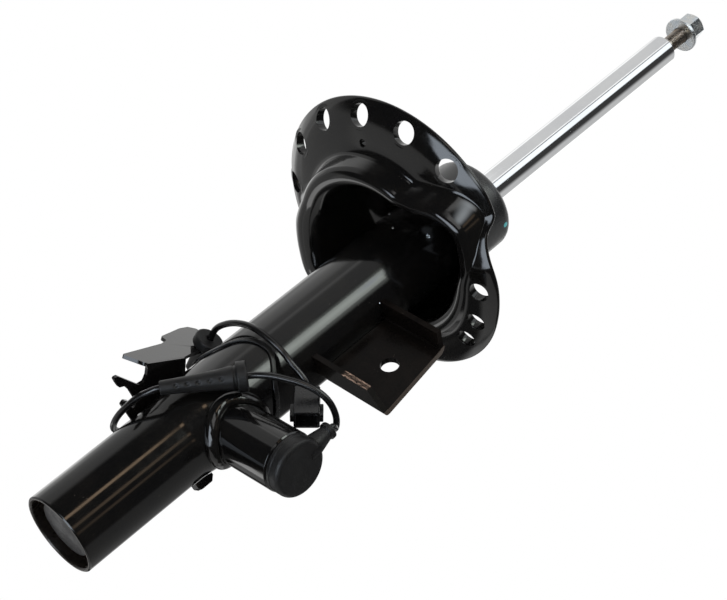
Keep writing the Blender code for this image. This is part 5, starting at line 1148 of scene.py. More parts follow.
# the plate's corners as (distance out from the bend, distance up along it)
HOSE_PLATE = [(0.0000, 0.0010), (0.0000, 0.0340), (0.0025, 0.0410), (0.0050, 0.0520),
              (0.0075, 0.0600), (0.0125, 0.0700), (0.0185, 0.0735), (0.0250, 0.0752),
              (0.0335, 0.0755), (0.0375, 0.0710), (0.0370, 0.0630), (0.0300, 0.0405),
              (0.0240, 0.0400), (0.0208, 0.0325), (0.0150, -0.0050), (0.0140, -0.0060)]
REAR_TAIL, REAR_TOP = Vector((-0.0485, 0.0102, 0.1495)), Vector((-0.0393, -0.0122, 0.1634))
FRONT_TOP, FRONT_TAIL = Vector((0.0262, -0.0364, 0.1405)), Vector((-0.0070, -0.0401, 0.0981))
FLANGE_RADIUS, FLANGE_LENGTH, BODY_RADIUS, GROMMET_EDGE = 0.0098, 0.0065, 0.0078, 0.0006


def make_hose_bracket():
    """The web with its claws, joined to the plate, cut to the tube and the rear grommet."""
    far_side = -(UPPER_RADIUS + SEAT_GAP + HOSE_SHEET)
    web = extruded("hose_web_bracket", round_corners(HOSE_WEB, 0.0014, steps=5), HOSE_SHEET,
                   black_coat, axes_at((far_side, 0, 0), (0, 1, 0), (1, 0, 0)))
    bend_way = Vector((0.0, math.sin(HOSE_TILT), math.cos(HOSE_TILT)))
    corner = Vector((far_side + HOSE_SHEET / 2, *HOSE_FOOT))
    leaf = extruded("hose_plate", round_corners(HOSE_PLATE, 0.0016, steps=5), HOSE_SHEET,
                    place=axes_at(corner, (-1, 0, 0), bend_way.cross(Vector((1, 0, 0)))))
    change_shape(web, leaf, "UNION")
    change_shape(web, tube_cutter())
    length = (REAR_TOP - REAR_TAIL).length
    step = length - FLANGE_LENGTH - GROMMET_EDGE - SEAT_GAP
    narrow, wide = BODY_RADIUS + SEAT_GAP, FLANGE_RADIUS + SEAT_GAP
    room = turned("grommet_room", [(0.0, -length), (narrow, -length), (narrow, step),
                                   (wide, step), (wide, 2 * length), (0.0, 2 * length)],
                  steps=40, place=axes_at(REAR_TAIL, (0, 0, 1), REAR_TOP - REAR_TAIL))
    return change_shape(web, room)


hose_bracket = soften_edges(make_hose_bracket(), 0.0003)
finish_piece(hose_bracket, "hose_bracket")

# %% [markdown]
# ## Locating tab
# A small welded tab stops the strut in its clamp at the right height and turn. It is an
# outline pushed through its own width, with softened edges.

# %% Make the tab
TAB_AZIMUTH, TAB_WIDTH, TAB_BOTTOM, TAB_TOP = math.radians(45.0), 0.008, 0.0862, 0.0995
TAB_REACH, TAB_CORNER, TAB_TOP_CORNER, TAB_ROOT = 0.0333, 0.002, 0.003, 0.020
tab_outline = [(TAB_ROOT, TAB_BOTTOM), (TAB_REACH - TAB_CORNER, TAB_BOTTOM),
               (TAB_REACH, TAB_BOTTOM + TAB_CORNER), (TAB_REACH, TAB_TOP - TAB_TOP_CORNER),
               (TAB_REACH - TAB_TOP_CORNER, TAB_TOP), (TAB_ROOT, TAB_TOP)]
tab_place = Matrix.Rotation(TAB_AZIMUTH, 4, "Z") @ axes_at((0, TAB_WIDTH / 2, 0), (1, 0, 0),
                                                           (0, -1, 0))
tab = extruded("clamp_tab", tab_outline, TAB_WIDTH, black_coat, tab_place)
change_shape(tab, tube_cutter())
finish_piece(soften_edges(tab, 0.0006, 4), "locating_tab")

# %% [markdown]
# ## Side valve: housing and weld bead
# An electric valve that changes the damping sits in a cup welded to the tube's side. The cup
# is a turned outline cut to the tube. Its weld is the bead that catches the light in the
# photograph: a tube of changing radius that follows the line where the two cylinders meet,
# with crescent ripples.

# %% Turn the housing and lay its bead
HOUSING_RADIUS, HOUSING_BORE, HOUSING_END = 0.020, 0.0172, 0.075
HOUSING_ROOT, HOUSING_EDGE = 0.018, 0.0010
BEAD_RADIUS, BEAD_SPREAD, BEAD_SINK = 0.0056, 0.0001, -0.0014
BEAD_RIPPLES, BEAD_RIPPLE_DEPTH, BEAD_STEPS, BEAD_SIDES = 21, 0.016, 504, 32

housing_corners = [(PORT_RADIUS + SEAT_GAP, HOUSING_ROOT), (HOUSING_RADIUS, HOUSING_ROOT),
                   (HOUSING_RADIUS, HOUSING_END - HOUSING_EDGE),
                   (HOUSING_RADIUS - HOUSING_EDGE, HOUSING_END), (HOUSING_BORE, HOUSING_END),
                   (HOUSING_BORE, VALVE_FLOOR), (PORT_RADIUS + SEAT_GAP, VALVE_FLOOR)]
housing_radii = [0, 0, 0.0006, 0.0006, 0.0003, 0.0003, 0]
housing = turned("valve_cup", round_corners(housing_corners, housing_radii), black_coat, 128,
                 closed=True, place=valve_place)
change_shape(housing, tube_cutter())
finish_piece(housing, "valve_housing")


def bead_surface():
    """A ring of circles: centre (R cos u, R sin u, on the tube), radius waved by u and v."""
    turn = np.arange(BEAD_STEPS) * math.tau / BEAD_STEPS
    spread = HOUSING_RADIUS + BEAD_SPREAD
    centre = np.stack([spread * np.cos(turn), spread * np.sin(turn), np.sqrt(
        (UPPER_RADIUS + BEAD_SINK) ** 2 - (spread * np.sin(turn)) ** 2)], axis=-1)
    along = np.roll(centre, -1, axis=0) - np.roll(centre, 1, axis=0)
    along /= np.linalg.norm(along, axis=1, keepdims=True)
    out = np.stack([np.cos(turn), np.sin(turn), np.zeros_like(turn)], axis=-1)
    over = np.cross(along, out)
    over /= np.linalg.norm(over, axis=1, keepdims=True)
    out = np.cross(over, along)
    side = np.arange(BEAD_SIDES)[:, None] * math.tau / BEAD_SIDES
    wave = 0.5 + 0.5 * np.sin(BEAD_RIPPLES * turn + 1.3 * np.cos(2 * side)
                              + 0.6 * np.sin(5 * turn))
    radius = BEAD_RADIUS * (1 - BEAD_RIPPLE_DEPTH * wave ** 2 + 0.02 * np.sin(7 * turn))
    return (centre + radius[..., None] * (np.cos(side)[..., None] * out
                                          + np.sin(side)[..., None] * over))


bead = build_mesh("valve_bead", placed(bead_surface(), valve_place),
                  grid_faces(BEAD_SIDES, BEAD_STEPS, True), weld_coat, 60.0)
change_shape(bead, tube_cutter())
housing_room = turned("housing_room", [(0.0, 0.0), (HOUSING_RADIUS + SEAT_GAP, 0.0),
                                       (HOUSING_RADIUS + SEAT_GAP, HOUSING_END + SEAT_GAP),
                                       (0.0, HOUSING_END + SEAT_GAP)], steps=128,
                      place=valve_place)
change_shape(bead, housing_room)
bead.data.set_sharp_from_angle(angle=math.radians(60.0))
finish_piece(bead, "valve_weld")

# %% [markdown]
# ## Valve cover and cable boot
# A moulded cover closes the valve, and the cable leaves it through a tapered boot with a
# knob at its tip. Two turned forms are joined into one moulding, with a shallow seam ring
# round the cover where the mould parted.

# %% Mould the cover and its boot
COVER_RADIUS, COVER_END, COVER_ROUND = 0.0194, 0.0858, 0.0048
BOOT_LEAN, BOOT_REACH, BOOT_SIDE, BOOT_FOOT = math.radians(5.0), 0.0795, 0.0015, 0.010
BOOT_TIP, BOOT_FOOT_RADIUS, BOOT_TIP_RADIUS, BOOT_KNOB_RADIUS = 0.0325, 0.0068, 0.0047, 0.0058
BOOT_KNOB_LENGTH, BOOT_SOCKET, CABLE_RADIUS, CABLE_FIT = 0.0040, 0.004, 0.00215, 0.0004
cover_start = HOUSING_END + SEAT_GAP
SEAM_AT, SEAM_DEPTH = 0.0782, 0.00045

cover_corners = [(0.0, cover_start), (COVER_RADIUS, cover_start),
                 (COVER_RADIUS, SEAM_AT - SEAM_DEPTH), (COVER_RADIUS - SEAM_DEPTH, SEAM_AT),
                 (COVER_RADIUS, SEAM_AT + SEAM_DEPTH), (COVER_RADIUS, COVER_END),
                 (0.0, COVER_END)]
cover_radii = [0, 0.0005, 0.0004, 0.0003, 0.0004, COVER_ROUND, 0]
cover = turned("valve_end_cover", round_corners(cover_corners, cover_radii, False, 8), rubber,
               128, place=valve_place)
boot_way = Vector((math.cos(BOOT_LEAN), math.sin(BOOT_LEAN), 0.0))
boot_place = valve_place @ axes_at((0.0, BOOT_SIDE, BOOT_REACH), (0, 0, 1), boot_way)
knob_start = BOOT_TIP - BOOT_KNOB_LENGTH
socket_radius = CABLE_RADIUS + CABLE_FIT
boot_corners = [(0.0, BOOT_FOOT), (BOOT_FOOT_RADIUS, BOOT_FOOT), (BOOT_FOOT_RADIUS, 0.0185),
                (BOOT_TIP_RADIUS, knob_start), (BOOT_KNOB_RADIUS, knob_start + 0.0007),
                (BOOT_KNOB_RADIUS, BOOT_TIP), (socket_radius, BOOT_TIP),
                (socket_radius, BOOT_TIP - BOOT_SOCKET), (0.0, BOOT_TIP - BOOT_SOCKET)]
boot_radii = [0, 0, 0.006, 0.0010, 0.0008, 0.0012, 0.0004, 0, 0]
boot = turned("cable_boot", round_corners(boot_corners, boot_radii, False, 8), rubber, 64,
              place=boot_place)
change_shape(cover, boot, "UNION")
cover_cut = turned("cover_cut", [(0.0, 0.0), (HOUSING_RADIUS + SEAT_GAP, 0.0),
                                 (HOUSING_RADIUS + SEAT_GAP, cover_start), (0.0, cover_start)],
                   steps=96, place=valve_place)
finish_piece(change_shape(cover, cover_cut), "valve_cover")

# %% [markdown]
# ## Cable
# The valve's cable runs from the boot through a front grommet, round the tube, through a rear
# grommet on the bracket and back to its plug. It is held all the way, so its route is the
# frame's own. A Blender curve with a bevel would do. A tube of circles carried along the same
# smooth route takes the finish better, and its length can be printed.

# %% Carry the cable along its route
CABLE_STEP = 0.0012
TO_FRONT = [(0.0763, -0.0050, 0.1605), (0.0745, -0.0105, 0.1640), (0.0700, -0.0185, 0.1652),
            (0.0634, -0.0252, 0.1638), (0.0549, -0.0302, 0.1600), (0.0457, -0.0335, 0.1548),
            (0.0355, -0.0358, 0.1484)]
ROUND_TUBE = [(-0.0119, -0.0381, 0.0925), (-0.0172, -0.0345, 0.0878),
              (-0.0225, -0.0284, 0.0826), (-0.0283, -0.0203, 0.0775),
              (-0.0328, -0.0118, 0.0748), (-0.0368, -0.0030, 0.0760),
              (-0.0408, 0.0070, 0.0825), (-0.0452, 0.0165, 0.0960),
              (-0.0492, 0.0228, 0.1130), (-0.0510, 0.0225, 0.1290)]
TO_PLUG = [(-0.0352, -0.0205, 0.1665), (-0.0278, -0.0272, 0.1684), (-0.0180, -0.0327, 0.1703),
           (-0.0070, -0.0362, 0.1716), (0.0014, -0.0369, 0.1718), (0.0092, -0.0358, 0.1719),
           (0.0166, -0.0332, 0.1720), (0.0232, -0.0298, 0.1721), (0.0300, -0.0262, 0.1712)]
PLUG_CENTRE = Vector((0.0583, -0.0163, 0.1559))
PLUG_MOUTH_WAY = Vector((0.693, -0.048, -0.720)).normalized()
PLUG_WIDE_WAY = Vector((0.720, 0.121, 0.684))
PLUG_LENGTH, PLUG_COLLAR = 0.024, 0.0030


def smooth_stretch(points, start_way, end_way):
    """Cubic curve through points: each slope is half the way from the last to the next."""
    points = np.array([tuple(point) for point in points])
    slopes = np.gradient(points, axis=0)
    slopes[0] = np.array(start_way.normalized()) * np.linalg.norm(points[1] - points[0])
    slopes[-1] = np.array(end_way.normalized()) * np.linalg.norm(points[-1] - points[-2])
    pieces = []
    for index in range(len(points) - 1):
        start, end = points[index], points[index + 1]
        count = max(2, round(np.linalg.norm(end - start) / CABLE_STEP))
        share = (np.arange(count) / count)[:, None]
        pieces.append(start * (1 + 2 * share) * (1 - share) ** 2
                      + end * share ** 2 * (3 - 2 * share)
                      + slopes[index] * share * (1 - share) ** 2
                      - slopes[index + 1] * share ** 2 * (1 - share))
    return np.concatenate([*pieces, points[-1:]])


boot_start = boot_place @ Vector((0, 0, BOOT_TIP - BOOT_SOCKET + SEAT_GAP))
boot_tip = boot_place @ Vector((0, 0, BOOT_TIP + 0.001))
plug_back = PLUG_CENTRE - PLUG_MOUTH_WAY * (PLUG_LENGTH / 2 + PLUG_COLLAR)
route = np.concatenate([
    np.array([tuple(boot_start)]),
    smooth_stretch([boot_tip, *TO_FRONT, FRONT_TOP], boot_tip - boot_start,
                   FRONT_TAIL - FRONT_TOP),
    smooth_stretch([FRONT_TAIL, *ROUND_TUBE, REAR_TAIL], FRONT_TAIL - FRONT_TOP,
                   REAR_TOP - REAR_TAIL),
    smooth_stretch([REAR_TOP, *TO_PLUG, plug_back - PLUG_MOUTH_WAY * 0.003],
                   REAR_TOP - REAR_TAIL, PLUG_MOUTH_WAY),
    np.array([tuple(plug_back - PLUG_MOUTH_WAY * SEAT_GAP)])])
cable_length = np.linalg.norm(np.diff(route, axis=0), axis=1).sum()
CABLE_SIDES = 20
skin = tube_points(route, CABLE_RADIUS, CABLE_SIDES)
cable_rows = np.concatenate([np.broadcast_to(route[:1, None], skin[:1].shape), skin,
                             np.broadcast_to(route[-1:, None], skin[:1].shape)])
cable = build_mesh("valve_lead", cable_rows, grid_faces(len(cable_rows), CABLE_SIDES, False),
                   cable_sheath)
finish_piece(cable, "valve_cable")
print("cable length: %.4f m" % cable_length)

# %% [markdown]
# ## Grommets
# Two moulded grommets grip the cable: a thick flange, a neck that a bracket's slot takes, and
# a sleeve that tapers to its tail. They are turned outlines. The front one has a row of
# small dents along its sleeve, which are dips in the surface itself, by distance from each
# dent's centre.

# %% Mould the grommets
TAIL_RADIUS, TAIL_SWELL, NECK_RADIUS, NECK_LENGTH = 0.0045, 0.0006, 0.0074, 0.0025
DENT_DEPTH, DENT_REACH, DENTS = 0.0009, 0.0013, 5


def fine_rows(outline, longest):
    """The same outline with extra points, so that no step is longer than asked."""
    pieces = [np.linspace(start, end, max(1, math.ceil(np.linalg.norm(end - start) / longest)),
                          endpoint=False) for start, end in zip(outline, outline[1:])]
    return np.concatenate([*pieces, outline[-1:]])


def make_grommet(name, node, top, tail, dents=0):
    """A turned grommet on the cable, with a row of dents on the side towards the camera."""
    length = (top - tail).length
    flange_bottom = length - FLANGE_LENGTH
    neck_bottom = flange_bottom - NECK_LENGTH
    bore = CABLE_RADIUS + CABLE_FIT
    corners = [(bore, 0.0), (TAIL_RADIUS, 0.0), (TAIL_RADIUS + TAIL_SWELL, 0.35 * neck_bottom),
               (BODY_RADIUS - 2 * TAIL_SWELL, 0.8 * neck_bottom), (BODY_RADIUS, neck_bottom),
               (NECK_RADIUS, neck_bottom + GROMMET_EDGE),
               (NECK_RADIUS, flange_bottom - GROMMET_EDGE), (FLANGE_RADIUS, flange_bottom),
               (FLANGE_RADIUS, length), (bore, length)]
    radii = [0.0003, 0.0008, 0.012, 0.008, 0.0008, 0.0004, 0.0004, 0.0009, 0.0014, 0.0005]
    outline = fine_rows(round_corners(corners, radii), 0.0006)
    place = axes_at(tail, (0, 0, 1), top - tail)
    steps = 96
    points = placed(circle_rows(outline, steps), place)
    way = np.array((top - tail).normalized())
    facing = np.array(camera_place - (top + tail) / 2)
    facing -= way * (facing @ way)
    facing /= np.linalg.norm(facing)
    for index in range(dents):
        height = neck_bottom * (0.22 + 0.62 * index / max(1, dents - 1))
        radius = np.interp(height, [0.0, 0.8 * neck_bottom, neck_bottom],
                           [TAIL_RADIUS, BODY_RADIUS - 2 * TAIL_SWELL, BODY_RADIUS])
        centre = np.array(tail) + way * height + facing * radius
        away = np.linalg.norm(points - centre, axis=-1, keepdims=True)
        points = points - facing * DENT_DEPTH * np.exp(-(away / DENT_REACH) ** 4)
    grommet = build_mesh(name, points, grid_faces(len(outline), steps, True), rubber)
    return finish_piece(grommet, node)


make_grommet("front_cable_grommet", "front_grommet", FRONT_TOP, FRONT_TAIL, DENTS)
make_grommet("rear_cable_grommet", "rear_grommet", REAR_TOP, REAR_TAIL)

# %% [markdown]
# ## Plug
# The plug on the cable's end is a small moulded box, open at its mouth, with a latch collar
# and two terminals inside. It is built as a moulder would see it: outlines pushed through,
# joined and hollowed, and then every edge softened a little.

# %% Mould the plug
PLUG_WIDTH, PLUG_THICKNESS, PLUG_WALL, PLUG_MOUTH_DEPTH = 0.016, 0.013, 0.0014, 0.0095
WING_LENGTH, WING_REACH, WING_THICKNESS, WING_START = 0.010, 0.0022, 0.00585, 0.0004


def box_outline(width, depth, corner):
    """A centred rectangle with rounded corners."""
    corners = [(-width / 2, -depth / 2), (width / 2, -depth / 2), (width / 2, depth / 2),
               (-width / 2, depth / 2)]
    return round_corners(corners, corner)


def make_plug():
    """The plug's body, wings and collar joined, and its mouth cut."""
    place = axes_at(PLUG_CENTRE, PLUG_WIDE_WAY, PLUG_MOUTH_WAY)
    back = -PLUG_LENGTH / 2
    body = extruded("cable_plug", box_outline(PLUG_WIDTH, PLUG_THICKNESS, 0.0015), PLUG_LENGTH,
                    plastic, place @ Matrix.Translation((0, 0, back)))
    wing = extruded("plug_wing", box_outline(PLUG_WIDTH + 2 * WING_REACH, WING_THICKNESS,
                                             0.0006), WING_LENGTH,
                    place=place @ Matrix.Translation((0, 0, WING_START)))
    change_shape(body, wing, "UNION")
    collar = turned("plug_collar", [(0.0, back - PLUG_COLLAR), (0.0042, back - PLUG_COLLAR),
                                    (0.0046, back + 0.001), (0.0, back + 0.001)], steps=40,
                    place=place)
    change_shape(body, collar, "UNION")
    floor = PLUG_LENGTH / 2 - PLUG_MOUTH_DEPTH
    mouth = extruded("plug_mouth", box_outline(PLUG_WIDTH - 2 * PLUG_WALL,
                                               PLUG_THICKNESS - 2 * PLUG_WALL, 0.001),
                     PLUG_MOUTH_DEPTH + 0.01, place=place @ Matrix.Translation((0, 0, floor)))
    return change_shape(body, mouth)


plug = soften_edges(make_plug(), 0.00025)
finish_piece(plug, "plug_body")

# %% [markdown]
# ## Cable tie
# A tie straps the cable's loop to the tube. Its strap is a rounded section whose height
# follows the azimuth round the tube, and its lock head is a small block at the back.

# %% Strap the tie round the tube
TIE_WIDTH, TIE_THICKNESS, TIE_SLACK = 0.0036, 0.0013, 0.0001
TIE_HEAD, TIE_HEAD_AT, TIE_HEAD_SINK, TIE_STEPS = (0.0060, 0.0056, 0.0045), 120.0, 0.0007, 360
TIE_HEIGHTS = [(0, 0.1530), (30, 0.1500), (60, 0.1455), (90, 0.1410), (135, 0.1380),
               (180, 0.1375), (215, 0.1405), (235, 0.1465), (245, 0.1530), (254, 0.1600),
               (264, 0.1645), (274, 0.1672), (285, 0.1690), (294, 0.1696), (304, 0.1676),
               (318, 0.1625), (335, 0.1570)]


def make_tie():
    """The strap: section (r, z) round Z, with z lifted by the azimuth, and its lock head."""
    azimuth = np.arange(TIE_STEPS) * 360.0 / TIE_STEPS
    turn, lift = np.radians(azimuth), around(TIE_HEIGHTS, azimuth)
    inner = UPPER_RADIUS + SEAT_GAP + TIE_SLACK
    outer = inner + TIE_THICKNESS
    section = round_corners([(inner, -TIE_WIDTH / 2), (outer, -TIE_WIDTH / 2),
                             (outer, TIE_WIDTH / 2), (inner, TIE_WIDTH / 2)],
                            [0.0002, 0.0004, 0.0004, 0.0002], steps=4)
    radius, height = section[:, 0:1], section[:, 1:2]
    points = np.stack([radius * np.cos(turn), radius * np.sin(turn), height + lift], axis=-1)
    strap = build_mesh("strap_tie", points, grid_faces(len(section), TIE_STEPS, True), plastic)
    head_turn = math.radians(TIE_HEAD_AT)
    out = Vector((math.cos(head_turn), math.sin(head_turn), 0.0))
    spot = out * (outer - TIE_HEAD_SINK) + Vector((0, 0, float(around(TIE_HEIGHTS,
                                                                      TIE_HEAD_AT))))
    head = extruded("tie_head", box_outline(TIE_HEAD[1], TIE_HEAD[0], 0.0006), TIE_HEAD[2],
                    place=axes_at(spot, (0, 0, 1), out))
    return change_shape(strap, head, "UNION")


finish_piece(make_tie(), "cable_tie")

# %% [markdown]
# ## Pieces that keep the frame's own shape
# The inner parts of the damper and the valve are right as they are, and most are hidden. They
# only need their finishes, which are put into the slots of each object's material.

# %% Give the frame's own pieces their finishes
slots = {part["node"]: part["material_slot"] for part in frame["record"]["subparts"]}
kept = [name for name in sorted(frame["nodes"]) if not frame["nodes"][name].hide_render]
for name in kept:
    materials = frame["nodes"][name].data.materials
    if len(materials) == 0:
        materials.append(BY_SLOT[slots[name]])
    for index in range(len(materials)):
        materials[index] = BY_SLOT[slots[name]]
print("kept as they are:", kept)

# %% [markdown]
# ## Studio
# A black glossy thing shows its surroundings rather than its own colour. The strut's long
# highlights look like those of white sheets and a soft lamp box with dark gaps between, and
# they draw its form. A dome that only reflections see stands for that studio: each window of
# the dome is a range of azimuth and height with a brightness and soft edges. Plain lamps light
# the rest.

# %% Build the reflection dome
DOME_RADIUS, DOME_CENTRE = 1.2, Vector((0.0, 0.0, 0.25))
DOME_BASE, DOME_ROWS, DOME_COLUMNS = 0.045, 48, 96
NEUTRAL, COOL, WARM = (1.0, 1.0, 0.99), (0.80, 0.89, 1.0), (1.0, 0.72, 0.48)
GREENISH, PALE_COOL = (0.93, 1.0, 0.94), (0.93, 0.97, 1.0)
# azimuth from, to (degrees); height from, to (share of the radius); softness of each;
# brightness and tint
WINDOWS = [
    ("high left sheet", 100, 284, 0.60, 1.30, 4, 0.04, 0.66, NEUTRAL),
    ("high back glow", 108, 182, 0.60, 1.30, 8, 0.04, 0.22, NEUTRAL),
    ("high bright edge", 286, 292, 0.60, 1.30, 2, 0.04, 1.10, NEUTRAL),
    ("high front glow", 302, 332, 0.60, 1.30, 7, 0.04, 1.30, PALE_COOL),
    ("high right sheet", 44, 100, 0.60, 1.30, 34, 0.04, 0.54, NEUTRAL),
    ("lamp box", 300, 320, 0.31, 0.555, 2, 0.018, 3.50, GREENISH),
    ("lamp box core", 308, 311, 0.31, 0.555, 7, 0.018, 1.50, GREENISH),
    ("lamp box edge", 298, 324, 0.30, 0.56, 9, 0.03, 1.50, GREENISH),
    ("left sweep", 155, 245, 0.28, 0.60, 10, 0.05, 0.60, NEUTRAL),
    ("left glow", 188, 218, 0.32, 0.54, 14, 0.08, 0.36, NEUTRAL),
    ("front left sheet", 246, 288, 0.31, 0.60, 6, 0.05, 0.44, NEUTRAL),
    ("right back sheet", 20, 92, 0.06, 0.30, 8, 0.05, 0.23, NEUTRAL),
    ("back sheet", 108, 160, 0.06, 0.56, 12, 0.08, 0.52, NEUTRAL),
    ("low left sheet", 155, 227, -0.28, 0.27, 14, 0.06, 0.56, NEUTRAL),
    ("hose plate glow", 170, 186, 0.64, 0.78, 6, 0.03, 0.30, NEUTRAL),
    ("low back glow", 142, 180, -0.08, 0.12, 10, 0.06, 0.34, NEUTRAL),
    ("front low glow", 282, 314, -0.40, -0.09, 5, 0.04, 1.60, NEUTRAL),
    ("right low sheet", 72, 98, -0.36, -0.02, 8, 0.05, 0.74, NEUTRAL),
    ("floor back", 128, 186, -0.70, -0.32, 15, 0.06, 0.42, NEUTRAL),
    ("floor under", 125, 180, -1.20, -0.74, 15, 0.05, 0.50, NEUTRAL),
    ("floor right", 50, 98, -1.20, -0.44, 9, 0.06, 0.48, NEUTRAL),
    ("low lamp box", 269, 325, -0.97, -0.73, 6, 0.05, 5.60, COOL),
    ("back low lamp", 128, 144, -0.74, -0.62, 4, 0.03, 1.80, NEUTRAL),
    ("warm edge", 287, 292, 0.055, 0.205, 1.5, 0.025, 3.30, WARM),
    ("second warm edge", 316, 320, 0.07, 0.215, 2.5, 0.03, 1.10, WARM),
    ("third warm edge", 335, 338, 0.08, 0.205, 2.5, 0.03, 0.60, WARM),
]


def dome_material():
    """Light that changes with the place on the dome: a base level plus every window."""
    shine = bpy.data.materials.new("studio_dome")
    tree = bare_tree(shine)
    place = object_place(tree)
    parts = add_node(tree, "ShaderNodeSeparateXYZ", {"Vector": place}).outputs
    share = calculate(tree, "DIVIDE", parts["Z"], DOME_RADIUS)
    azimuth = calculate(tree, "DEGREES", calculate(tree, "ARCTAN2", parts["Y"], parts["X"]))
    total = Vector((DOME_BASE, DOME_BASE, DOME_BASE))
    for _, az_from, az_to, low, high, az_soft, z_soft, level, tint in WINDOWS:
        middle, half_width = (az_from + az_to) / 2, (az_to - az_from) / 2
        away = add_node(tree, "ShaderNodeMath", {0: calculate(tree, "SUBTRACT", azimuth, middle),
                                                 1: 180.0, 2: -180.0}, operation="WRAP")
        away = calculate(tree, "ABSOLUTE", away.outputs["Value"])
        inside = remap(tree, away, half_width + az_soft + 0.01, half_width)
        above = remap(tree, share, low - z_soft, low)
        below = remap(tree, share, high + z_soft, high)
        window = product(tree, above, below, inside)
        light = add_node(tree, "ShaderNodeVectorMath", {0: Vector(tint) * level,
                                                        "Scale": window}, operation="SCALE")
        total = add_node(tree, "ShaderNodeVectorMath", {0: total, 1: light.outputs["Vector"]},
                         operation="ADD").outputs["Vector"]
    end_with(tree, add_node(tree, "ShaderNodeEmission", {"Color": total, "Strength": 1.0}))
    shine.cycles.emission_sampling = "NONE"
    return shine


def dome_surface(rows, columns):
    """A sphere: (R sin v cos u, R sin v sin u, R cos v)."""
    over = np.linspace(0.0, math.pi, rows)[:, None]
    turn = (np.arange(columns) * math.tau / columns)[None, :]
    return DOME_RADIUS * np.stack([np.sin(over) * np.cos(turn), np.sin(over) * np.sin(turn),
                                   np.cos(over) + 0.0 * turn], axis=-1)


def show_in_reflections_only(item):
    """Hide a stage object from every ray but the glossy ones."""
    for flag in ("visible_camera", "visible_diffuse", "visible_transmission",
                 "visible_shadow", "visible_volume_scatter"):
        setattr(item, flag, False)


dome = build_mesh("reflection_dome", dome_surface(DOME_ROWS, DOME_COLUMNS),
                  grid_faces(DOME_ROWS, DOME_COLUMNS, False), dome_material())
dome.location = DOME_CENTRE
show_in_reflections_only(dome)
print("windows on the dome:", len(WINDOWS))

# %% [markdown]
# ### A small card beside the seat
# One soft highlight lies along the seat's ridge and nowhere else. A window on the far dome
# would show on the tube as well. A small bright card close to the ridge lights only that.

# %% Hang the ridge card
RIDGE, CARD_WAY, CARD_AWAY = Vector((0.058, -0.065, 0.306)), math.radians(297.0), 0.036
CARD_SIZE, CARD_LEVEL, CARD_TINT = 0.036, 5.6, (0.88, 0.95, 1.0)


def card_material():
    """Plain cool light in the card's middle, that thins out to nothing towards its edge."""
    shine = bpy.data.materials.new("ridge_card_light")
    tree = bare_tree(shine)
    place = object_place(tree)
    away = add_node(tree, "ShaderNodeVectorMath", {0: place, 1: card_centre},
                    operation="DISTANCE").outputs["Value"]
    solid = remap(tree, away, CARD_SIZE / 2, 0.0)
    glow = add_node(tree, "ShaderNodeEmission", {"Color": (*CARD_TINT, 1.0),
                                                 "Strength": CARD_LEVEL})
    open_air = add_node(tree, "ShaderNodeBsdfTransparent")
    end_with(tree, mix_shaders(tree, solid, open_air, glow))
    shine.cycles.emission_sampling = "NONE"
    return shine


card_out = Vector((math.cos(CARD_WAY), math.sin(CARD_WAY), 0.0))
card_centre = RIDGE + card_out * CARD_AWAY
card_spots = placed(np.array([(-1, -1, 0), (1, -1, 0), (1, 1, 0), (-1, 1, 0)]) * CARD_SIZE / 2,
                    axes_at(card_centre, (0, 0, 1), -card_out))
show_in_reflections_only(build_mesh("ridge_card", card_spots, [(0, 1, 2, 3)], card_material()))

# %% [markdown]
# ### Floor, background and lamps
# The floor is a plain pale disc that fades out before its edge, so it melts into the white
# behind it. The photograph's camera is below the floor, so its underside lets the camera see
# through. The background is white for the camera and in reflections, while the light that
# falls on the object stays at a plain level.

# %% Lay the floor, light the room
FLOOR_RADIUS, FLOOR_FADE, FLOOR_LEVEL = 1.5, 0.35, -0.0006
FLOOR_ROWS, FLOOR_COLUMNS, FLOOR_COLOR = 12, 96, (0.90, 0.90, 0.90)
WHITE, PLAIN_LEVEL = (1.0, 1.0, 1.0, 1.0), 0.62


def floor_material():
    """Pale and matte, clear towards the edge, and clear to the camera from below."""
    pale = bpy.data.materials.new("pale_floor")
    tree = bare_tree(pale)
    place = object_place(tree)
    away = add_node(tree, "ShaderNodeVectorMath", {0: place}, operation="LENGTH")
    faded = remap(tree, away.outputs["Value"], FLOOR_FADE, FLOOR_RADIUS * 0.8)
    behind = add_node(tree, "ShaderNodeNewGeometry").outputs["Backfacing"]
    path = add_node(tree, "ShaderNodeLightPath").outputs
    unseen = product(tree, behind, path["Is Camera Ray"])
    clear = calculate(tree, "MAXIMUM", faded, unseen)
    matte = add_node(tree, "ShaderNodeBsdfDiffuse", {"Color": (*FLOOR_COLOR, 1.0)})
    open_air = add_node(tree, "ShaderNodeBsdfTransparent")
    end_with(tree, mix_shaders(tree, clear, matte, open_air))
    return pale


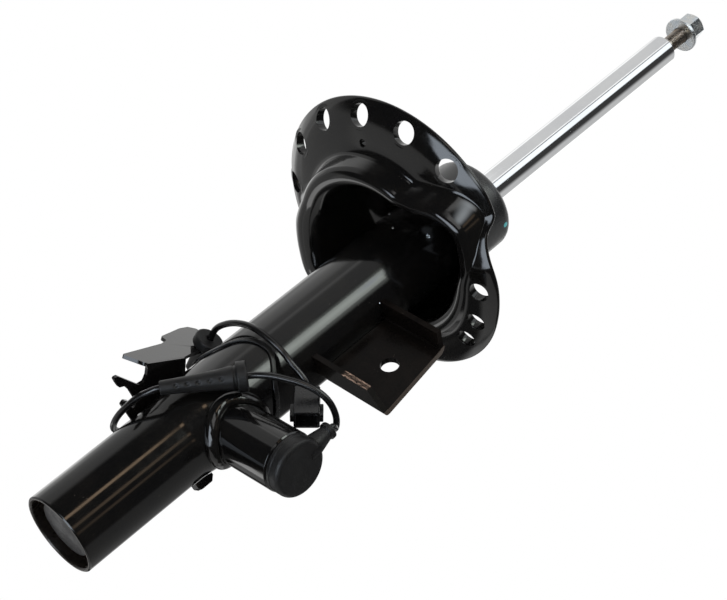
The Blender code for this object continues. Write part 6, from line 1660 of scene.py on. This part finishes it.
def floor_surface(rows, columns):
    """A flat disc: (r cos u, r sin u)."""
    radius = np.linspace(0.0, FLOOR_RADIUS, rows)[:, None]
    turn = (np.arange(columns) * math.tau / columns)[None, :]
    return np.stack([radius * np.cos(turn), radius * np.sin(turn),
                     np.full((rows, columns), FLOOR_LEVEL)], axis=-1)


floor = build_mesh("floor", floor_surface(FLOOR_ROWS, FLOOR_COLUMNS),
                   grid_faces(FLOOR_ROWS, FLOOR_COLUMNS, False), floor_material())
if floor.data.polygons[len(floor.data.polygons) // 2].normal.z < 0.0:
    floor.data.flip_normals()
floor.visible_glossy = False

world = bpy.data.worlds.new("studio")
bpy.context.scene.world = world
tree = bare_tree(world)
path = add_node(tree, "ShaderNodeLightPath").outputs
seen = calculate(tree, "MAXIMUM", path["Is Camera Ray"],
                 calculate(tree, "MAXIMUM", path["Is Glossy Ray"], path["Is Transmission Ray"]))
plain = add_node(tree, "ShaderNodeBackground", {"Color": WHITE, "Strength": PLAIN_LEVEL})
white = add_node(tree, "ShaderNodeBackground", {"Color": WHITE, "Strength": 1.0})
end_with(tree, mix_shaders(tree, seen, plain, white), "ShaderNodeOutputWorld")
world.cycles.sampling_method = "NONE"


def add_lamp(name, place, size, power):
    """A soft square lamp aimed at the strut's middle. The dome stands for its reflection."""
    data = bpy.data.lights.new(name, "AREA")
    data.size, data.energy = size, power
    lamp = bpy.data.objects.new(name, data)
    bpy.context.scene.collection.objects.link(lamp)
    aim = DOME_CENTRE - Vector(place)
    lamp.matrix_world = (Matrix.Translation(Vector(place))
                         @ aim.to_track_quat("-Z", "Y").to_matrix().to_4x4())
    lamp.visible_glossy = False


# name, place, size in metres, power in watts
LAMPS = [("key_lamp", (0.55, -1.05, 0.95), 0.8, 11.0),
         ("fill_lamp", (-1.0, -0.35, 0.70), 0.9, 6.0),
         ("back_lamp", (0.2, 1.1, 0.9), 0.9, 6.0)]
for lamp_values in LAMPS:
    add_lamp(*lamp_values)
print("lamps:", len(LAMPS))
bpy.context.scene.view_settings.view_transform = "Standard"

# %% [markdown]
